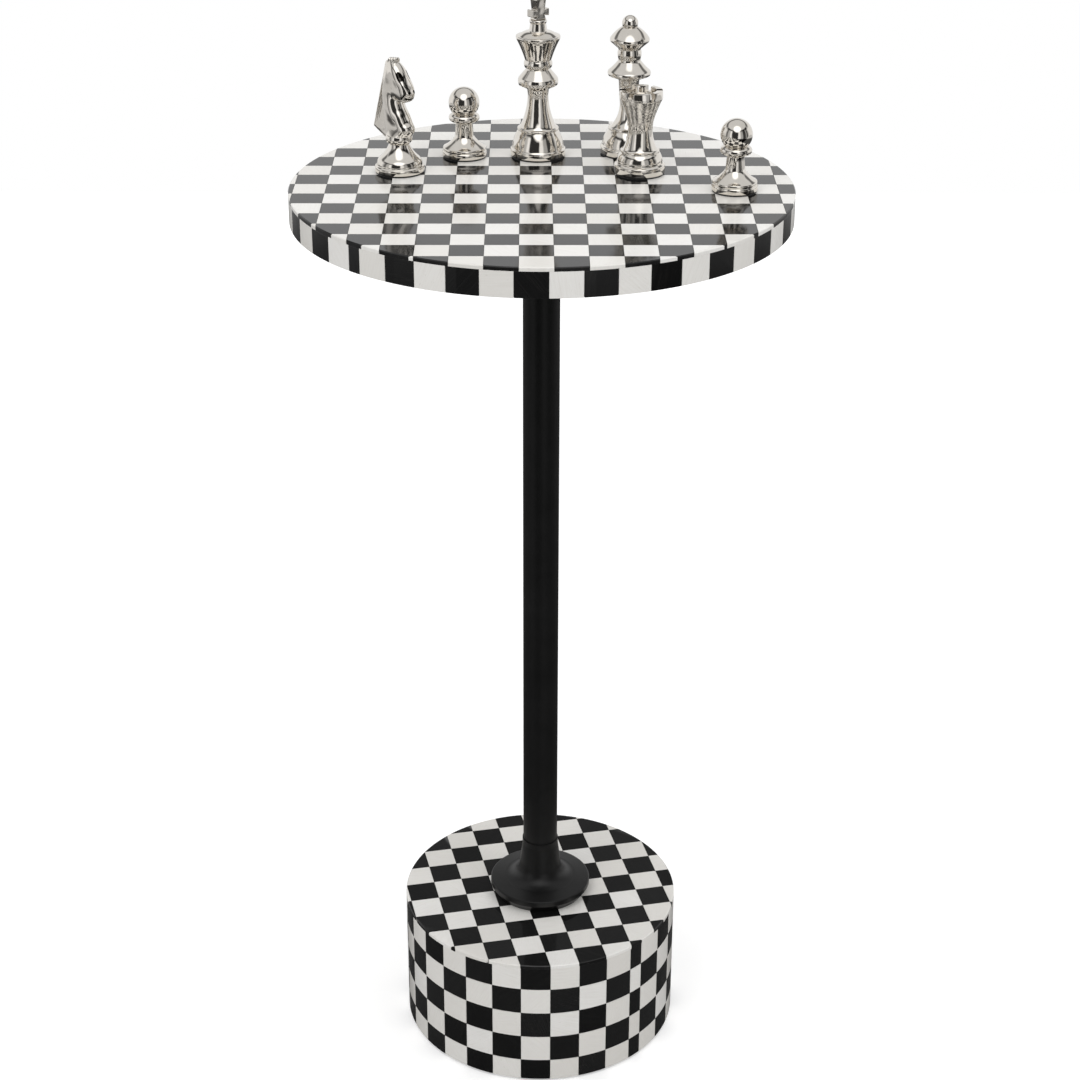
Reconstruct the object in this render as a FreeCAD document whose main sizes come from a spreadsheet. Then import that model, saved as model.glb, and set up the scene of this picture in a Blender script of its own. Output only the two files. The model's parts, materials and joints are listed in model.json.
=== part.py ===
import FreeCAD, Part
import math
import os

import Sketcher
from FreeCAD import Placement, Rotation, Vector

# Chess side table: a round mosaic top on a steel tube, a weighted mosaic drum as its foot,
# and six loose chess figures standing on the top.
# The origin is on the floor in the middle of the foot, +Z is up, -Y is the front.

SIZES = {
    # mosaic tiles
    "tile_pitch": 15.9,
    "tile_thickness": 2.0,
    "tile_joint": 0.15,
    "glue_line": 0.1,
    "edge_bevel": 0.45,
    "smallest_offcut": 0.5,
    # table top
    "table_height": 492.5,
    "top_radius": 125.0,
    "top_core_thickness": 12.7,
    "top_grid_shift_x": 5.0,
    "top_grid_shift_y": 2.1,
    "top_grid_turn": 0.3,
    "rim_closing_width": 7.2,
    "rim_closing_angle": -43.8,
    # flange under the top
    "flange_radius": 35.0,
    "flange_thickness": 4.0,
    "flange_screw_inset": 9.0,
    "spigot_length": 24.0,
    "spigot_clearance": 0.2,
    # column
    "tube_radius": 9.5,
    "tube_wall": 1.5,
    "rod_radius": 4.0,
    "rod_clearance": 0.5,
    "thread_clearance": 0.05,
    "rod_setback": 1.0,
    "rod_tail": 0.5,
    # collar at the column's foot
    "collar_height": 34.0,
    "collar_neck_lip": 0.5,
    "collar_neck_height": 3.4,
    "collar_foot_radius": 25.0,
    "collar_rim_radius": 28.0,
    "collar_rim_tuck": 4.6,
    "collar_rim_height": 2.4,
    "collar_rim_round": 0.9,
    "collar_rim_bulge": 0.26,
    "collar_flat_radius": 20.0,
    "collar_flat_rise": 0.9,
    "collar_stem_radius": 11.6,
    "collar_stem_level": 17.0,
    "collar_sweep": 2.4,
    # drum
    "base_radius": 76.5,
    "base_height": 76.5,
    "base_board_thickness": 18.0,
    "base_wall_thickness": 16.4,
    "cover_thickness": 9.0,
    "cover_seat": 10.0,
    "cover_clearance": 0.3,
    "cover_screw_inset": 5.0,
    "access_hole_radius": 13.0,
    "ballast_clearance": 0.5,
    "base_grid_shift_x": -10.9,
    "base_grid_shift_y": 1.0,
    "base_grid_turn": 12.5,
    "base_closing_width": 8.5,
    "base_closing_angle": 44.1,
    # fastenings and pads
    "nut_across_flats": 13.0,
    "nut_height": 6.5,
    "washer_radius": 10.0,
    "washer_thickness": 1.6,
    "screw_head_radius": 4.0,
    "screw_head_height": 2.4,
    "screw_shank_radius": 1.9,
    "flange_screw_grip": 9.0,
    "cover_screw_grip": 16.0,
    "screw_clearance": 0.1,
    "pad_radius": 9.0,
    "pad_thickness": 1.5,
    "pad_inset": 10.0,
    # chess figures: shared sizes
    "felt_thickness": 0.8,
    "felt_inset": 0.5,
    "foot_chamfer": 0.6,
    # pawn
    "pawn_plinth_radius": 11.4,
    "pawn_plinth_height": 2.4,
    "pawn_bead_radius": 10.9,
    "pawn_bead_height": 1.6,
    "pawn_bead_bulge": 0.25,
    "pawn_stem_foot_radius": 4.8,
    "pawn_sweep_height": 5.6,
    "pawn_sweep_hollow": 0.6,
    "pawn_stem_radius": 4.3,
    "pawn_stem_height": 6.9,
    "pawn_collar_radius": 7.1,
    "pawn_collar_under": 1.0,
    "pawn_collar_edge": 3.2,
    "pawn_collar_bulge": 0.8,
    "pawn_collar_over": 1.0,
    "pawn_neck_radius": 5.4,
    "pawn_ball_radius": 7.9,
    "pawn_ball_sink": 2.8,
    "pawn_left_x": -39.7,
    "pawn_left_y": 51.0,
    "pawn_right_x": 94.6,
    "pawn_right_y": -8.0,
    # rook
    "rook_plinth_radius": 12.8,
    "rook_plinth_height": 4.2,
    "rook_bell_radius": 11.4,
    "rook_bell_top_radius": 9.6,
    "rook_bell_height": 5.6,
    "rook_bell_bulge": 0.7,
    "rook_ring_radius": 9.9,
    "rook_ring_height": 1.1,
    "rook_sweep_radius": 8.9,
    "rook_waist_radius": 6.2,
    "rook_sweep_height": 11.0,
    "rook_sweep_hollow": 0.8,
    "rook_neck_radius": 6.4,
    "rook_neck_height": 3.0,
    "rook_flare_radius": 10.6,
    "rook_flare_height": 11.5,
    "rook_flare_hollow": 0.3,
    "rook_crown_radius": 10.9,
    "rook_crown_height": 4.0,
    "rook_cup_radius": 7.6,
    "rook_cup_depth": 3.4,
    "rook_crenel_half": 1.5,
    "rook_crenel_depth": 2.6,
    "rook_crenel_count": 6,
    "rook_x": 49.1,
    "rook_y": 22.0,
    # king
    "king_plinth_radius": 14.2,
    "king_plinth_height": 3.4,
    "king_bell_radius": 13.5,
    "king_bell_top_radius": 10.2,
    "king_bell_height": 9.2,
    "king_bell_bulge": 0.5,
    "king_ring_radius": 10.6,
    "king_ring_height": 1.1,
    "king_sweep_radius": 9.5,
    "king_waist_radius": 5.3,
    "king_sweep_height": 16.7,
    "king_sweep_hollow": 1.0,
    "king_stem_radius": 5.6,
    "king_stem_height": 3.3,
    "king_collar_radius": 10.0,
    "king_collar_under": 2.2,
    "king_collar_edge": 3.4,
    "king_collar_bulge": 0.3,
    "king_collar_over": 4.6,
    "king_neck_radius": 6.1,
    "king_neck_height": 0.6,
    "king_bead_radius": 6.7,
    "king_bead_height": 3.9,
    "king_bead_bulge": 0.6,
    "king_crown_height": 11.0,
    "king_crown_radius": 11.3,
    "king_crown_hollow": 0.3,
    "king_crown_edge": 1.3,
    "king_dome_radius": 10.0,
    "king_dome_height": 2.3,
    "king_dome_bulge": 0.5,
    "king_finial_foot_radius": 4.6,
    "king_finial_radius": 4.0,
    "king_finial_height": 4.0,
    "king_button_height": 1.8,
    "king_button_bulge": 0.5,
    "king_cross_height": 10.4,
    "king_cross_level": 3.4,
    "king_cross_end": 3.4,
    "king_cross_waist": 2.6,
    "king_cross_reach": 5.3,
    "king_cross_arm_end": 1.9,
    "king_cross_arm_root": 1.4,
    "king_cross_depth": 5.0,
    "king_cross_turn": 40.0,
    "king_x": -2.0,
    "king_y": 53.0,
    # queen
    "queen_plinth_radius": 14.3,
    "queen_plinth_height": 3.4,
    "queen_bell_radius": 13.4,
    "queen_bell_top_radius": 10.0,
    "queen_bell_height": 8.2,
    "queen_bell_bulge": 0.7,
    "queen_ring_radius": 10.3,
    "queen_ring_height": 1.1,
    "queen_sweep_radius": 9.2,
    "queen_stem_foot_radius": 4.7,
    "queen_sweep_height": 13.7,
    "queen_sweep_hollow": 1.6,
    "queen_stem_radius": 5.4,
    "queen_stem_height": 11.0,
    "queen_skirt_radius": 10.7,
    "queen_skirt_under": 2.1,
    "queen_skirt_edge": 2.2,
    "queen_skirt_bulge": 0.35,
    "queen_skirt_over": 5.1,
    "queen_skirt_hollow": 0.2,
    "queen_neck_radius": 5.8,
    "queen_neck_height": 1.4,
    "queen_bead_height": 4.2,
    "queen_bead_bulge": 0.35,
    "queen_throat_height": 0.8,
    "queen_brim_radius": 10.1,
    "queen_brim_under": 3.7,
    "queen_brim_edge": 1.3,
    "queen_hat_height": 5.8,
    "queen_hat_bulge": 0.5,
    "queen_button_radius": 4.0,
    "queen_ball_radius": 4.1,
    "queen_ball_sink": 2.4,
    "queen_x": 44.4,
    "queen_y": 58.0,
    # knight: turned foot
    "knight_plinth_radius": 12.5,
    "knight_plinth_height": 2.6,
    "knight_bell_radius": 11.4,
    "knight_bell_top_radius": 9.6,
    "knight_bell_height": 4.0,
    "knight_bell_bulge": 0.6,
    "knight_waist_radius": 5.0,
    "knight_sweep_height": 6.8,
    "knight_sweep_hollow": 0.5,
    "knight_ring_radius": 6.3,
    "knight_ring_under": 0.9,
    "knight_ring_height": 3.6,
    "knight_ring_bulge": 0.5,
    # knight: horse's neck and head, measured forward of the figure's axis and up from the ring
    "horse_foot_reach": 6.0,
    "horse_chest_reach": 8.7,
    "horse_chest_level": 2.8,
    "horse_chest_bulge": 0.5,
    "horse_throat_back": 1.8,
    "horse_throat_level": 20.4,
    "horse_throat_hollow": 1.4,
    "horse_chin_reach": 6.8,
    "horse_chin_level": 16.6,
    "horse_lip_reach": 8.4,
    "horse_lip_level": 18.9,
    "horse_nose_reach": 9.5,
    "horse_nose_level": 23.6,
    "horse_brow_reach": 0.9,
    "horse_brow_level": 34.0,
    "horse_ear_back": 1.6,
    "horse_ear_level": 38.4,
    "horse_poll_back": 5.2,
    "horse_poll_level": 35.6,
    "horse_crest_bulge": 3.0,
    "horse_root_back": 5.0,
    "horse_half_width": 5.2,
    "horse_muzzle_half": 3.1,
    "horse_nape_half": 3.0,
    "horse_nape_back": 9.0,
    "horse_flank_bulge": 0.7,
    "horse_neck_half": 4.3,
    "horse_neck_level": 14.0,
    "horse_cheek_half": 4.4,
    "horse_cheek_level": 25.0,
    "horse_temple_half": 3.6,
    "horse_temple_level": 32.6,
    "horse_ear_half": 2.6,
    "horse_ear_tip": 1.6,
    "horse_notch_level": 36.0,
    "horse_turn": 320.0,
    # knight: mane, a fin along the back of the neck
    "mane_top_back": 6.8,
    "mane_top_level": 36.6,
    "mane_tail_back": 16.5,
    "mane_tail_level": 1.7,
    "mane_inside": 2.0,
    "mane_foot_back": 7.0,
    "mane_foot_drop": 3.8,
    "mane_half": 1.5,
    "knight_x": -71.5,
    "knight_y": 23.4,
}

doc = FreeCAD.newDocument("chess_side_table")
sheet = doc.addObject("Spreadsheet::Sheet", "sizes")
for row, (alias, number) in enumerate(SIZES.items(), start=1):
    sheet.set(f"A{row}", alias)
    sheet.set(f"B{row}", str(number))
    sheet.setAlias(f"B{row}", alias)
doc.recompute()

nodes = {}


def size(alias):
    """One driving dimension, read from the sheet."""
    return float(sheet.get(alias))


def split(term):
    """A term is an alias, with a leading minus where it is taken away."""
    return (-1, term[1:]) if term.startswith("-") else (1, term)


def total(terms):
    """The sum of a list of terms as a number."""
    return sum(sign * size(alias) for sign, alias in map(split, terms))


def formula(terms):
    """The same sum as an expression on the sheet's cells."""
    signs = {1: "+", -1: "-"}
    return "0" + "".join(f" {signs[sign]} sizes.{alias}" for sign, alias in map(split, terms))


def keep(label, piece):
    """Register a finished sub-part under the name of its file."""
    piece.Label = label
    nodes[label] = piece


def raise_to(piece, level, spot=None):
    """Bind a piece's height, and its spot on the table top, to the sheet."""
    piece.setExpression("Placement.Base.z", formula(level))
    if spot:
        piece.setExpression("Placement.Base.x", f"sizes.{spot}_x")
        piece.setExpression("Placement.Base.y", f"sizes.{spot}_y")
    return piece


def new_sketch(body, name, role):
    """A sketch on one of its body's own origin planes."""
    plane = next(item for item in body.Origin.OriginFeatures if item.Role == role)
    sketch = body.newObject("Sketcher::SketchObject", name)
    sketch.AttachmentSupport = [(plane, "")]
    sketch.MapMode = "FlatFace"
    return sketch


def arc_between(start, end, bulge):
    """An arc that leaves its chord by the bulge, to the right of the way from start to end."""
    chord = end - start
    side = Vector(chord.y, -chord.x, 0).normalize()
    middle = (start + end) * 0.5 + side * bulge
    # Drawn counter-clockwise whichever way it bulges, as a sketch keeps its arcs.
    return Part.Arc(start, middle, end) if bulge > 0 else Part.Arc(end, middle, start)


def arc_radius(start, end, bulge):
    """The radius of that arc as an expression, from the terms of its two ends."""
    width = f"({formula(end[0])} - ({formula(start[0])}))"
    rise = f"({formula(end[1])} - ({formula(start[1])}))"
    depth = f"sizes.{split(bulge)[1]}"
    return f"(({width}^2 + {rise}^2) / 4 + {depth}^2) / (2 * {depth})"


def hold(sketch, kind, geometry, point, terms):
    """Fix a point's distance from the sketch's origin, or set the point on the axis."""
    if not terms:
        axis = -2 if kind == "DistanceX" else -1
        sketch.addConstraint(Sketcher.Constraint("PointOnObject", geometry, point, axis))
        return
    rule = Sketcher.Constraint(kind, -1, 1, geometry, point, total(terms))
    index = sketch.addConstraint(rule)
    sketch.setExpression(f"Constraints[{index}]", formula(terms))


def draw_outline(sketch, corners):
    """A closed outline from corners of (across terms, up terms, bulge of the side that follows)."""
    spots = [Vector(total(across), total(up), 0) for across, up, bulge in corners]
    following = spots[1:] + spots[:1]
    sides = []
    for (across, up, bulge), start, end in zip(corners, spots, following):
        side = arc_between(start, end, total([bulge])) if bulge else Part.LineSegment(start, end)
        sides.append(sketch.addGeometry(side, False))
    first = []
    for side, start in zip(sides, spots):
        starts_here = (sketch.Geometry[side].StartPoint - start).Length < 1e-6
        first.append(1 if starts_here else 2)
    for index, (across, up, bulge) in enumerate(corners):
        after = (index + 1) % len(corners)
        hold(sketch, "DistanceX", sides[index], first[index], across)
        hold(sketch, "DistanceY", sides[index], first[index], up)
        last = 3 - first[index]
        meet = Sketcher.Constraint("Coincident", sides[index], last, sides[after], first[after])
        sketch.addConstraint(meet)
        if bulge:
            radius = sketch.Geometry[sides[index]].Radius
            bend = sketch.addConstraint(Sketcher.Constraint("Radius", sides[index], radius))
            rule = arc_radius(corners[index], corners[after], bulge)
            sketch.setExpression(f"Constraints[{bend}]", rule)


def turned(name, corners):
    """A body of revolution from its half outline of radii and heights."""
    body = doc.addObject("PartDesign::Body", name + "_body")
    sketch = new_sketch(body, name + "_outline", "XZ_Plane")
    draw_outline(sketch, corners)
    turn = body.newObject("PartDesign::Revolution", name + "_turn")
    turn.Profile = sketch
    turn.ReferenceAxis = (sketch, ["V_Axis"])
    turn.Angle = 360.0
    return body


def padded(name, role, corners, depth, both_ways):
    """A body padded from an outline, up from its plane or half to either side."""
    body = doc.addObject("PartDesign::Body", name + "_body")
    sketch = new_sketch(body, name + "_outline", role)
    draw_outline(sketch, corners)
    pad = body.newObject("PartDesign::Pad", name + "_pad")
    pad.Profile = sketch
    pad.Midplane = both_ways
    pad.setExpression("Length", formula(depth))
    return body


def climb(rows):
    """Corners up a turned piece from rows of (radius, rise, bulge of the side that leads there)."""
    corners = [([], [], None)]
    level = []
    for radius, rise, bulge in rows:
        corners[-1] = corners[-1][:2] + (bulge,)
        level = level + [rise] if rise else level
        corners.append(([radius] if radius else [], level, None))
    return corners, level


def ring(inner, outer, height):
    """The outline of a plain ring or tube."""
    return [(inner, [], None), (outer, [], None), (outer, height, None), (inner, height, None)]


def mirrored(half):
    """A whole outline from the corners of its right half, the lowest first."""
    right = [(across, up, None) for across, up in half]
    left = [(["-" + term for term in across], up, None) for across, up in reversed(half) if across]
    return right + left


def cut(name, base, tool):
    piece = doc.addObject("Part::Cut", name + "_cut")
    piece.Base = base
    piece.Tool = tool
    return piece


def fused(name, pieces):
    piece = doc.addObject("Part::MultiFuse", name + "_fused")
    piece.Shapes = pieces
    return piece


def cylinder(name, radius, height):
    piece = doc.addObject("Part::Cylinder", name + "_round")
    piece.setExpression("Radius", formula(radius))
    piece.setExpression("Height", formula(height))
    return piece


def formed(name, shape):
    """A piece whose shape is worked out directly from the sheet's sizes."""
    piece = doc.addObject("Part::Feature", name + "_form")
    piece.Shape = shape
    return piece


# Levels and radii that several pieces share

BASE_TOP = ["pad_thickness", "base_height"]
COLLAR_TOP = BASE_TOP + ["collar_height"]
TOP_SURFACE = ["table_height"]
TOP_BOARD_UPPER = TOP_SURFACE + ["-tile_thickness"]
TOP_BOARD_LOWER = TOP_BOARD_UPPER + ["-top_core_thickness"]
FLANGE_LOWER = TOP_BOARD_LOWER + ["-flange_thickness"]
DRUM_BOARD_LOWER = BASE_TOP + ["-tile_thickness", "-base_board_thickness"]
BALLAST_LOWER = ["pad_thickness", "cover_thickness"]
NUT_LOWER = BALLAST_LOWER + ["-washer_thickness", "-nut_height"]

TOP_BOARD_RADIUS = ["top_radius", "-tile_thickness", "-glue_line"]
DRUM_RADIUS = ["base_radius", "-tile_thickness", "-glue_line"]
DRUM_INSIDE = DRUM_RADIUS + ["-base_wall_thickness"]
COVER_SEAT_RADIUS = DRUM_INSIDE + ["cover_seat"]
SPIGOT_RADIUS = ["tube_radius", "-tube_wall", "-spigot_clearance"]
FLANGE_SCREW_REACH = ["flange_radius", "-flange_screw_inset"]
COVER_SCREW_REACH = DRUM_INSIDE + ["cover_screw_inset"]
PAD_REACH = COVER_SEAT_RADIUS + ["-pad_inset"]
ROD_HOLE = ["rod_radius", "rod_clearance"]
ROD_THREAD = ["rod_radius", "thread_clearance"]


def gap(upper, lower):
    """The terms of the distance between two levels."""
    flipped = [term[1:] if term.startswith("-") else "-" + term for term in lower]
    return upper + flipped


# Mosaic: flat fields of square tiles, cut to a round edge


def tile_field(radius, grid, bore):
    """White and black tiles of a round field, as solids that lie on z = 0."""
    pitch = size("tile_pitch")
    joint = size("tile_joint")
    thickness = size("tile_thickness")
    shift = Vector(size(grid + "_grid_shift_x"), size(grid + "_grid_shift_y"), 0)
    turn = Rotation(Vector(0, 0, 1), size(grid + "_grid_turn"))
    disc = Part.makeCylinder(radius, thickness)
    upper_edge = [edge for edge in disc.Edges if edge.CenterOfMass.z > 0.75 * thickness]
    disc = disc.makeChamfer(size("edge_bevel"), upper_edge)
    if bore:
        disc = disc.cut(Part.makeCylinder(bore, thickness))
    reach = math.ceil((radius + shift.Length) / pitch)
    side = pitch - joint
    half_diagonal = side / math.sqrt(2)
    smallest = size("smallest_offcut") * thickness
    colours = {"white": [], "black": []}
    for column in range(-reach, reach):
        for line in range(-reach, reach):
            corner = shift + Vector(column * pitch + joint / 2, line * pitch + joint / 2, 0)
            middle = corner + Vector(side / 2, side / 2, 0)
            if middle.Length - half_diagonal > radius:
                continue
            tile = Part.makeBox(side, side, thickness, corner)
            tile.rotate(Vector(), Vector(0, 0, 1), math.degrees(turn.Angle))
            at_edge = middle.Length + half_diagonal > radius - size("edge_bevel")
            at_bore = middle.Length - half_diagonal < bore
            pieces = tile.common(disc).Solids if at_edge or at_bore else [tile]
            colour = "black" if (column + line) % 2 == 0 else "white"
            colours[colour] += [piece for piece in pieces if piece.Volume > smallest]
    return colours


# Mosaic: bands of tiles bent round an edge, closed by one narrow tile


def bent_tile(outer, start, end, bottom, top):
    """One tile of a band, between two angles measured from the front towards +X."""
    inner = outer - size("tile_thickness")

    def at(radius, angle):
        return Vector(radius * math.sin(angle), -radius * math.cos(angle), bottom)

    middle = (start + end) / 2
    outside = Part.Arc(at(outer, start), at(outer, middle), at(outer, end))
    inside = Part.Arc(at(inner, end), at(inner, middle), at(inner, start))
    far_end = Part.LineSegment(at(outer, end), at(inner, end))
    near_end = Part.LineSegment(at(inner, start), at(outer, start))
    outline = Part.Wire([side.toShape() for side in (outside, far_end, inside, near_end)])
    return Part.Face(outline).extrude(Vector(0, 0, top - bottom))


def tile_band(outer, band, rows):
    """White and black tiles of a band. Each row is (bottom, top), the uppermost first."""
    circumference = 2 * math.pi * outer
    closing = size(band + "_closing_width")
    half_joint = size("tile_joint") / 2 / outer
    # An odd number of whole tiles lets the colours alternate across the narrow one.
    count = 2 * round(((circumference - closing) / size("tile_pitch") - 1) / 2) + 1
    step = (circumference - closing) / count / outer
    start = math.radians(size(band + "_closing_angle")) + closing / 2 / outer
    colours = {"white": [], "black": []}
    for row, (bottom, top) in enumerate(rows):
        edges = [start - closing / outer] + [start + step * index for index in range(count + 1)]
        for index, (left, right) in enumerate(zip(edges, edges[1:])):
            tile = bent_tile(outer, left + half_joint, right - half_joint, bottom, top)
            colours["black" if (index + row) % 2 == 0 else "white"].append(tile)
    return colours


def keep_tiles(place, colours, level):
    for colour, tiles in colours.items():
        label = f"{place}_tiles_{colour}"
        keep(label, raise_to(formed(label, Part.makeCompound(tiles)), level))


def drum_rows():
    """Rows round the drum, set out from its top surface. The last one is cut to what is left."""
    pitch = size("tile_pitch")
    half_joint = size("tile_joint") / 2
    height = size("base_height")
    lines = [height - size("tile_thickness") + half_joint]
    level = height - pitch
    while level > size("smallest_offcut"):
        lines.append(level)
        level -= pitch
    lines.append(-half_joint)
    return [(low + half_joint, high - half_joint) for high, low in zip(lines, lines[1:])]


keep_tiles("top", tile_field(size("top_radius"), "top", 0.0), TOP_BOARD_UPPER)
rim_row = [(0.0, size("top_core_thickness"))]
keep_tiles("rim", tile_band(size("top_radius"), "rim", rim_row), TOP_BOARD_LOWER)
drum_field = tile_field(size("base_radius"), "base", total(ROD_HOLE))
keep_tiles("base_top", drum_field, BASE_TOP + ["-tile_thickness"])
keep_tiles("base_side", tile_band(size("base_radius"), "base", drum_rows()), ["pad_thickness"])


# Countersunk screws, set from below


def screw_ring(name, reach, grip, level, clearance=0.0):
    """Four screws on a circle, or with a clearance the holes that they go into."""
    head = size("screw_head_radius") + clearance
    shank = size("screw_shank_radius") + clearance
    head_height = size("screw_head_height")
    screws = []
    for quarter in range(4):
        spot = Rotation(Vector(0, 0, 1), 90 * quarter).multVec(Vector(total(reach), 0, 0))
        cone = Part.makeCone(head, shank, head_height, spot)
        shaft = Part.makeCylinder(shank, head_height + size(grip) + clearance, spot)
        screws.append(cone.fuse(shaft).removeSplitter())
    return raise_to(formed(name, Part.makeCompound(screws)), level)


loose = size("screw_clearance")
flange_set = (FLANGE_SCREW_REACH, "flange_screw_grip", FLANGE_LOWER)
flange_holes = screw_ring("flange_holes", *flange_set, loose)
keep("flange_screws", screw_ring("flange_screws", *flange_set))
cover_set = (COVER_SCREW_REACH, "cover_screw_grip", ["pad_thickness"])
cover_holes = screw_ring("cover_holes", *cover_set, loose)
keep("cover_screws", screw_ring("cover_screws", *cover_set))


# Table top and the flange that carries it

top_blank = cylinder("tabletop_core", TOP_BOARD_RADIUS, ["top_core_thickness"])
raise_to(top_blank, TOP_BOARD_LOWER)
keep("tabletop_core", cut("tabletop_core", top_blank, flange_holes))

plate_top = ["spigot_length", "flange_thickness"]
flange_corners = [
    (ROD_THREAD, [], None),
    (SPIGOT_RADIUS, [], None),
    (SPIGOT_RADIUS, ["spigot_length"], None),
    (["flange_radius"], ["spigot_length"], None),
    (["flange_radius"], plate_top, None),
    (ROD_THREAD, plate_top, None),
]
flange_blank = raise_to(turned("top_flange", flange_corners), FLANGE_LOWER + ["-spigot_length"])
keep("top_flange", cut("top_flange", flange_blank, flange_holes))


# Column: tube, tie rod and the trumpet-shaped collar at its foot

tube_outline = ring(["tube_radius", "-tube_wall"], ["tube_radius"], gap(FLANGE_LOWER, COLLAR_TOP))
keep("column_tube", raise_to(turned("column_tube", tube_outline), COLLAR_TOP))

rod_lower = NUT_LOWER + ["-rod_tail"]
rod = cylinder("tie_rod", ["rod_radius"], gap(TOP_BOARD_LOWER + ["-rod_setback"], rod_lower))
keep("tie_rod", raise_to(rod, rod_lower))

neck = ["tube_radius", "collar_neck_lip"]
rim_side = ["collar_rim_tuck", "collar_rim_height"]
rim_top = rim_side + ["collar_rim_round"]
spigot_top = ["collar_height", "spigot_length"]
collar_corners = [
    (ROD_HOLE, [], None),
    (["collar_foot_radius"], [], None),
    (["collar_rim_radius"], ["collar_rim_tuck"], None),
    (["collar_rim_radius"], rim_side, "collar_rim_bulge"),
    (["collar_rim_radius", "-collar_rim_round"], rim_top, None),
    (["collar_flat_radius"], rim_top + ["collar_flat_rise"], "-collar_sweep"),
    (["collar_stem_radius"], ["collar_stem_level"], None),
    (neck, ["collar_height", "-collar_neck_height"], None),
    (neck, ["collar_height"], None),
    (SPIGOT_RADIUS, ["collar_height"], None),
    (SPIGOT_RADIUS, spigot_top, None),
    (ROD_HOLE, spigot_top, None),
]
keep("base_collar", raise_to(turned("base_collar", collar_corners), BASE_TOP))


# Drum: boards, ballast and what closes it from below

board_outline = ring(ROD_HOLE, DRUM_RADIUS, ["base_board_thickness"])
keep("base_top_board", raise_to(turned("base_top_board", board_outline), DRUM_BOARD_LOWER))

wall_height = gap(DRUM_BOARD_LOWER, ["pad_thickness"])
wall_corners = [
    (COVER_SEAT_RADIUS, [], None),
    (DRUM_RADIUS, [], None),
    (DRUM_RADIUS, wall_height, None),
    (DRUM_INSIDE, wall_height, None),
    (DRUM_INSIDE, ["cover_thickness"], None),
    (COVER_SEAT_RADIUS, ["cover_thickness"], None),
]
wall_blank = raise_to(turned("base_wall", wall_corners), ["pad_thickness"])
keep("base_wall", cut("base_wall", wall_blank, cover_holes))

cover_radius = COVER_SEAT_RADIUS + ["-cover_clearance"]
cover_outline = ring(["access_hole_radius"], cover_radius, ["cover_thickness"])
cover_blank = raise_to(turned("base_bottom_cover", cover_outline), ["pad_thickness"])
keep("base_bottom_cover", cut("base_bottom_cover", cover_blank, cover_holes))

ballast_height = gap(DRUM_BOARD_LOWER, BALLAST_LOWER)
ballast_outline = ring(ROD_HOLE, DRUM_INSIDE + ["-ballast_clearance"], ballast_height)
keep("ballast_block", raise_to(turned("ballast_block", ballast_outline), BALLAST_LOWER))

washer_outline = ring(ROD_HOLE, ["washer_radius"], ["washer_thickness"])
keep("rod_washer", raise_to(turned("rod_washer", washer_outline), BALLAST_LOWER + ["-washer_thickness"]))

hexagon = doc.addObject("Part::Prism", "rod_nut_hexagon")
hexagon.Polygon = 6
hexagon.setExpression("Circumradius", "sizes.nut_across_flats / sqrt(3)")
hexagon.setExpression("Height", "sizes.nut_height")
raise_to(hexagon, NUT_LOWER)
nut_thread = raise_to(cylinder("rod_nut_thread", ROD_THREAD, ["nut_height"]), NUT_LOWER)
keep("rod_nut", cut("rod_nut", hexagon, nut_thread))

pads = []
for quarter in range(4):
    spot = Rotation(Vector(0, 0, 1), 45 + 90 * quarter).multVec(Vector(total(PAD_REACH), 0, 0))
    pads.append(Part.makeCylinder(size("pad_radius"), size("pad_thickness"), spot))
keep("felt_pads", formed("felt_pads", Part.makeCompound(pads)))


# Chess figures: turned solids, each on a felt disc


def stand(label, figure, plinth_radius):
    """Set a figure on its felt disc at its spot on the table top."""
    felt = cylinder(label + "_felt", [plinth_radius, "-felt_inset"], ["felt_thickness"])
    keep(label + "_felt", raise_to(felt, TOP_SURFACE, label))
    keep(label, raise_to(figure, TOP_SURFACE + ["felt_thickness"], label))


def ball(name, radius, sink, level):
    """A ball that sits into the neck below it."""
    piece = doc.addObject("Part::Sphere", name + "_ball")
    piece.setExpression("Radius", f"sizes.{radius}")
    return raise_to(piece, level + [radius, "-" + sink])


def pawn(label):
    corners, neck_level = climb([
        ("pawn_plinth_radius", None, None),
        ("pawn_plinth_radius", "pawn_plinth_height", None),
        ("pawn_bead_radius", "foot_chamfer", None),
        ("pawn_bead_radius", "pawn_bead_height", "pawn_bead_bulge"),
        ("pawn_stem_foot_radius", "pawn_sweep_height", "-pawn_sweep_hollow"),
        ("pawn_stem_radius", "pawn_stem_height", None),
        ("pawn_collar_radius", "pawn_collar_under", None),
        ("pawn_collar_radius", "pawn_collar_edge", "pawn_collar_bulge"),
        ("pawn_neck_radius", "pawn_collar_over", None),
        (None, None, None),
    ])
    head = ball(label, "pawn_ball_radius", "pawn_ball_sink", neck_level)
    stand(label, fused(label, [turned(label, corners), head]), "pawn_plinth_radius")


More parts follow.
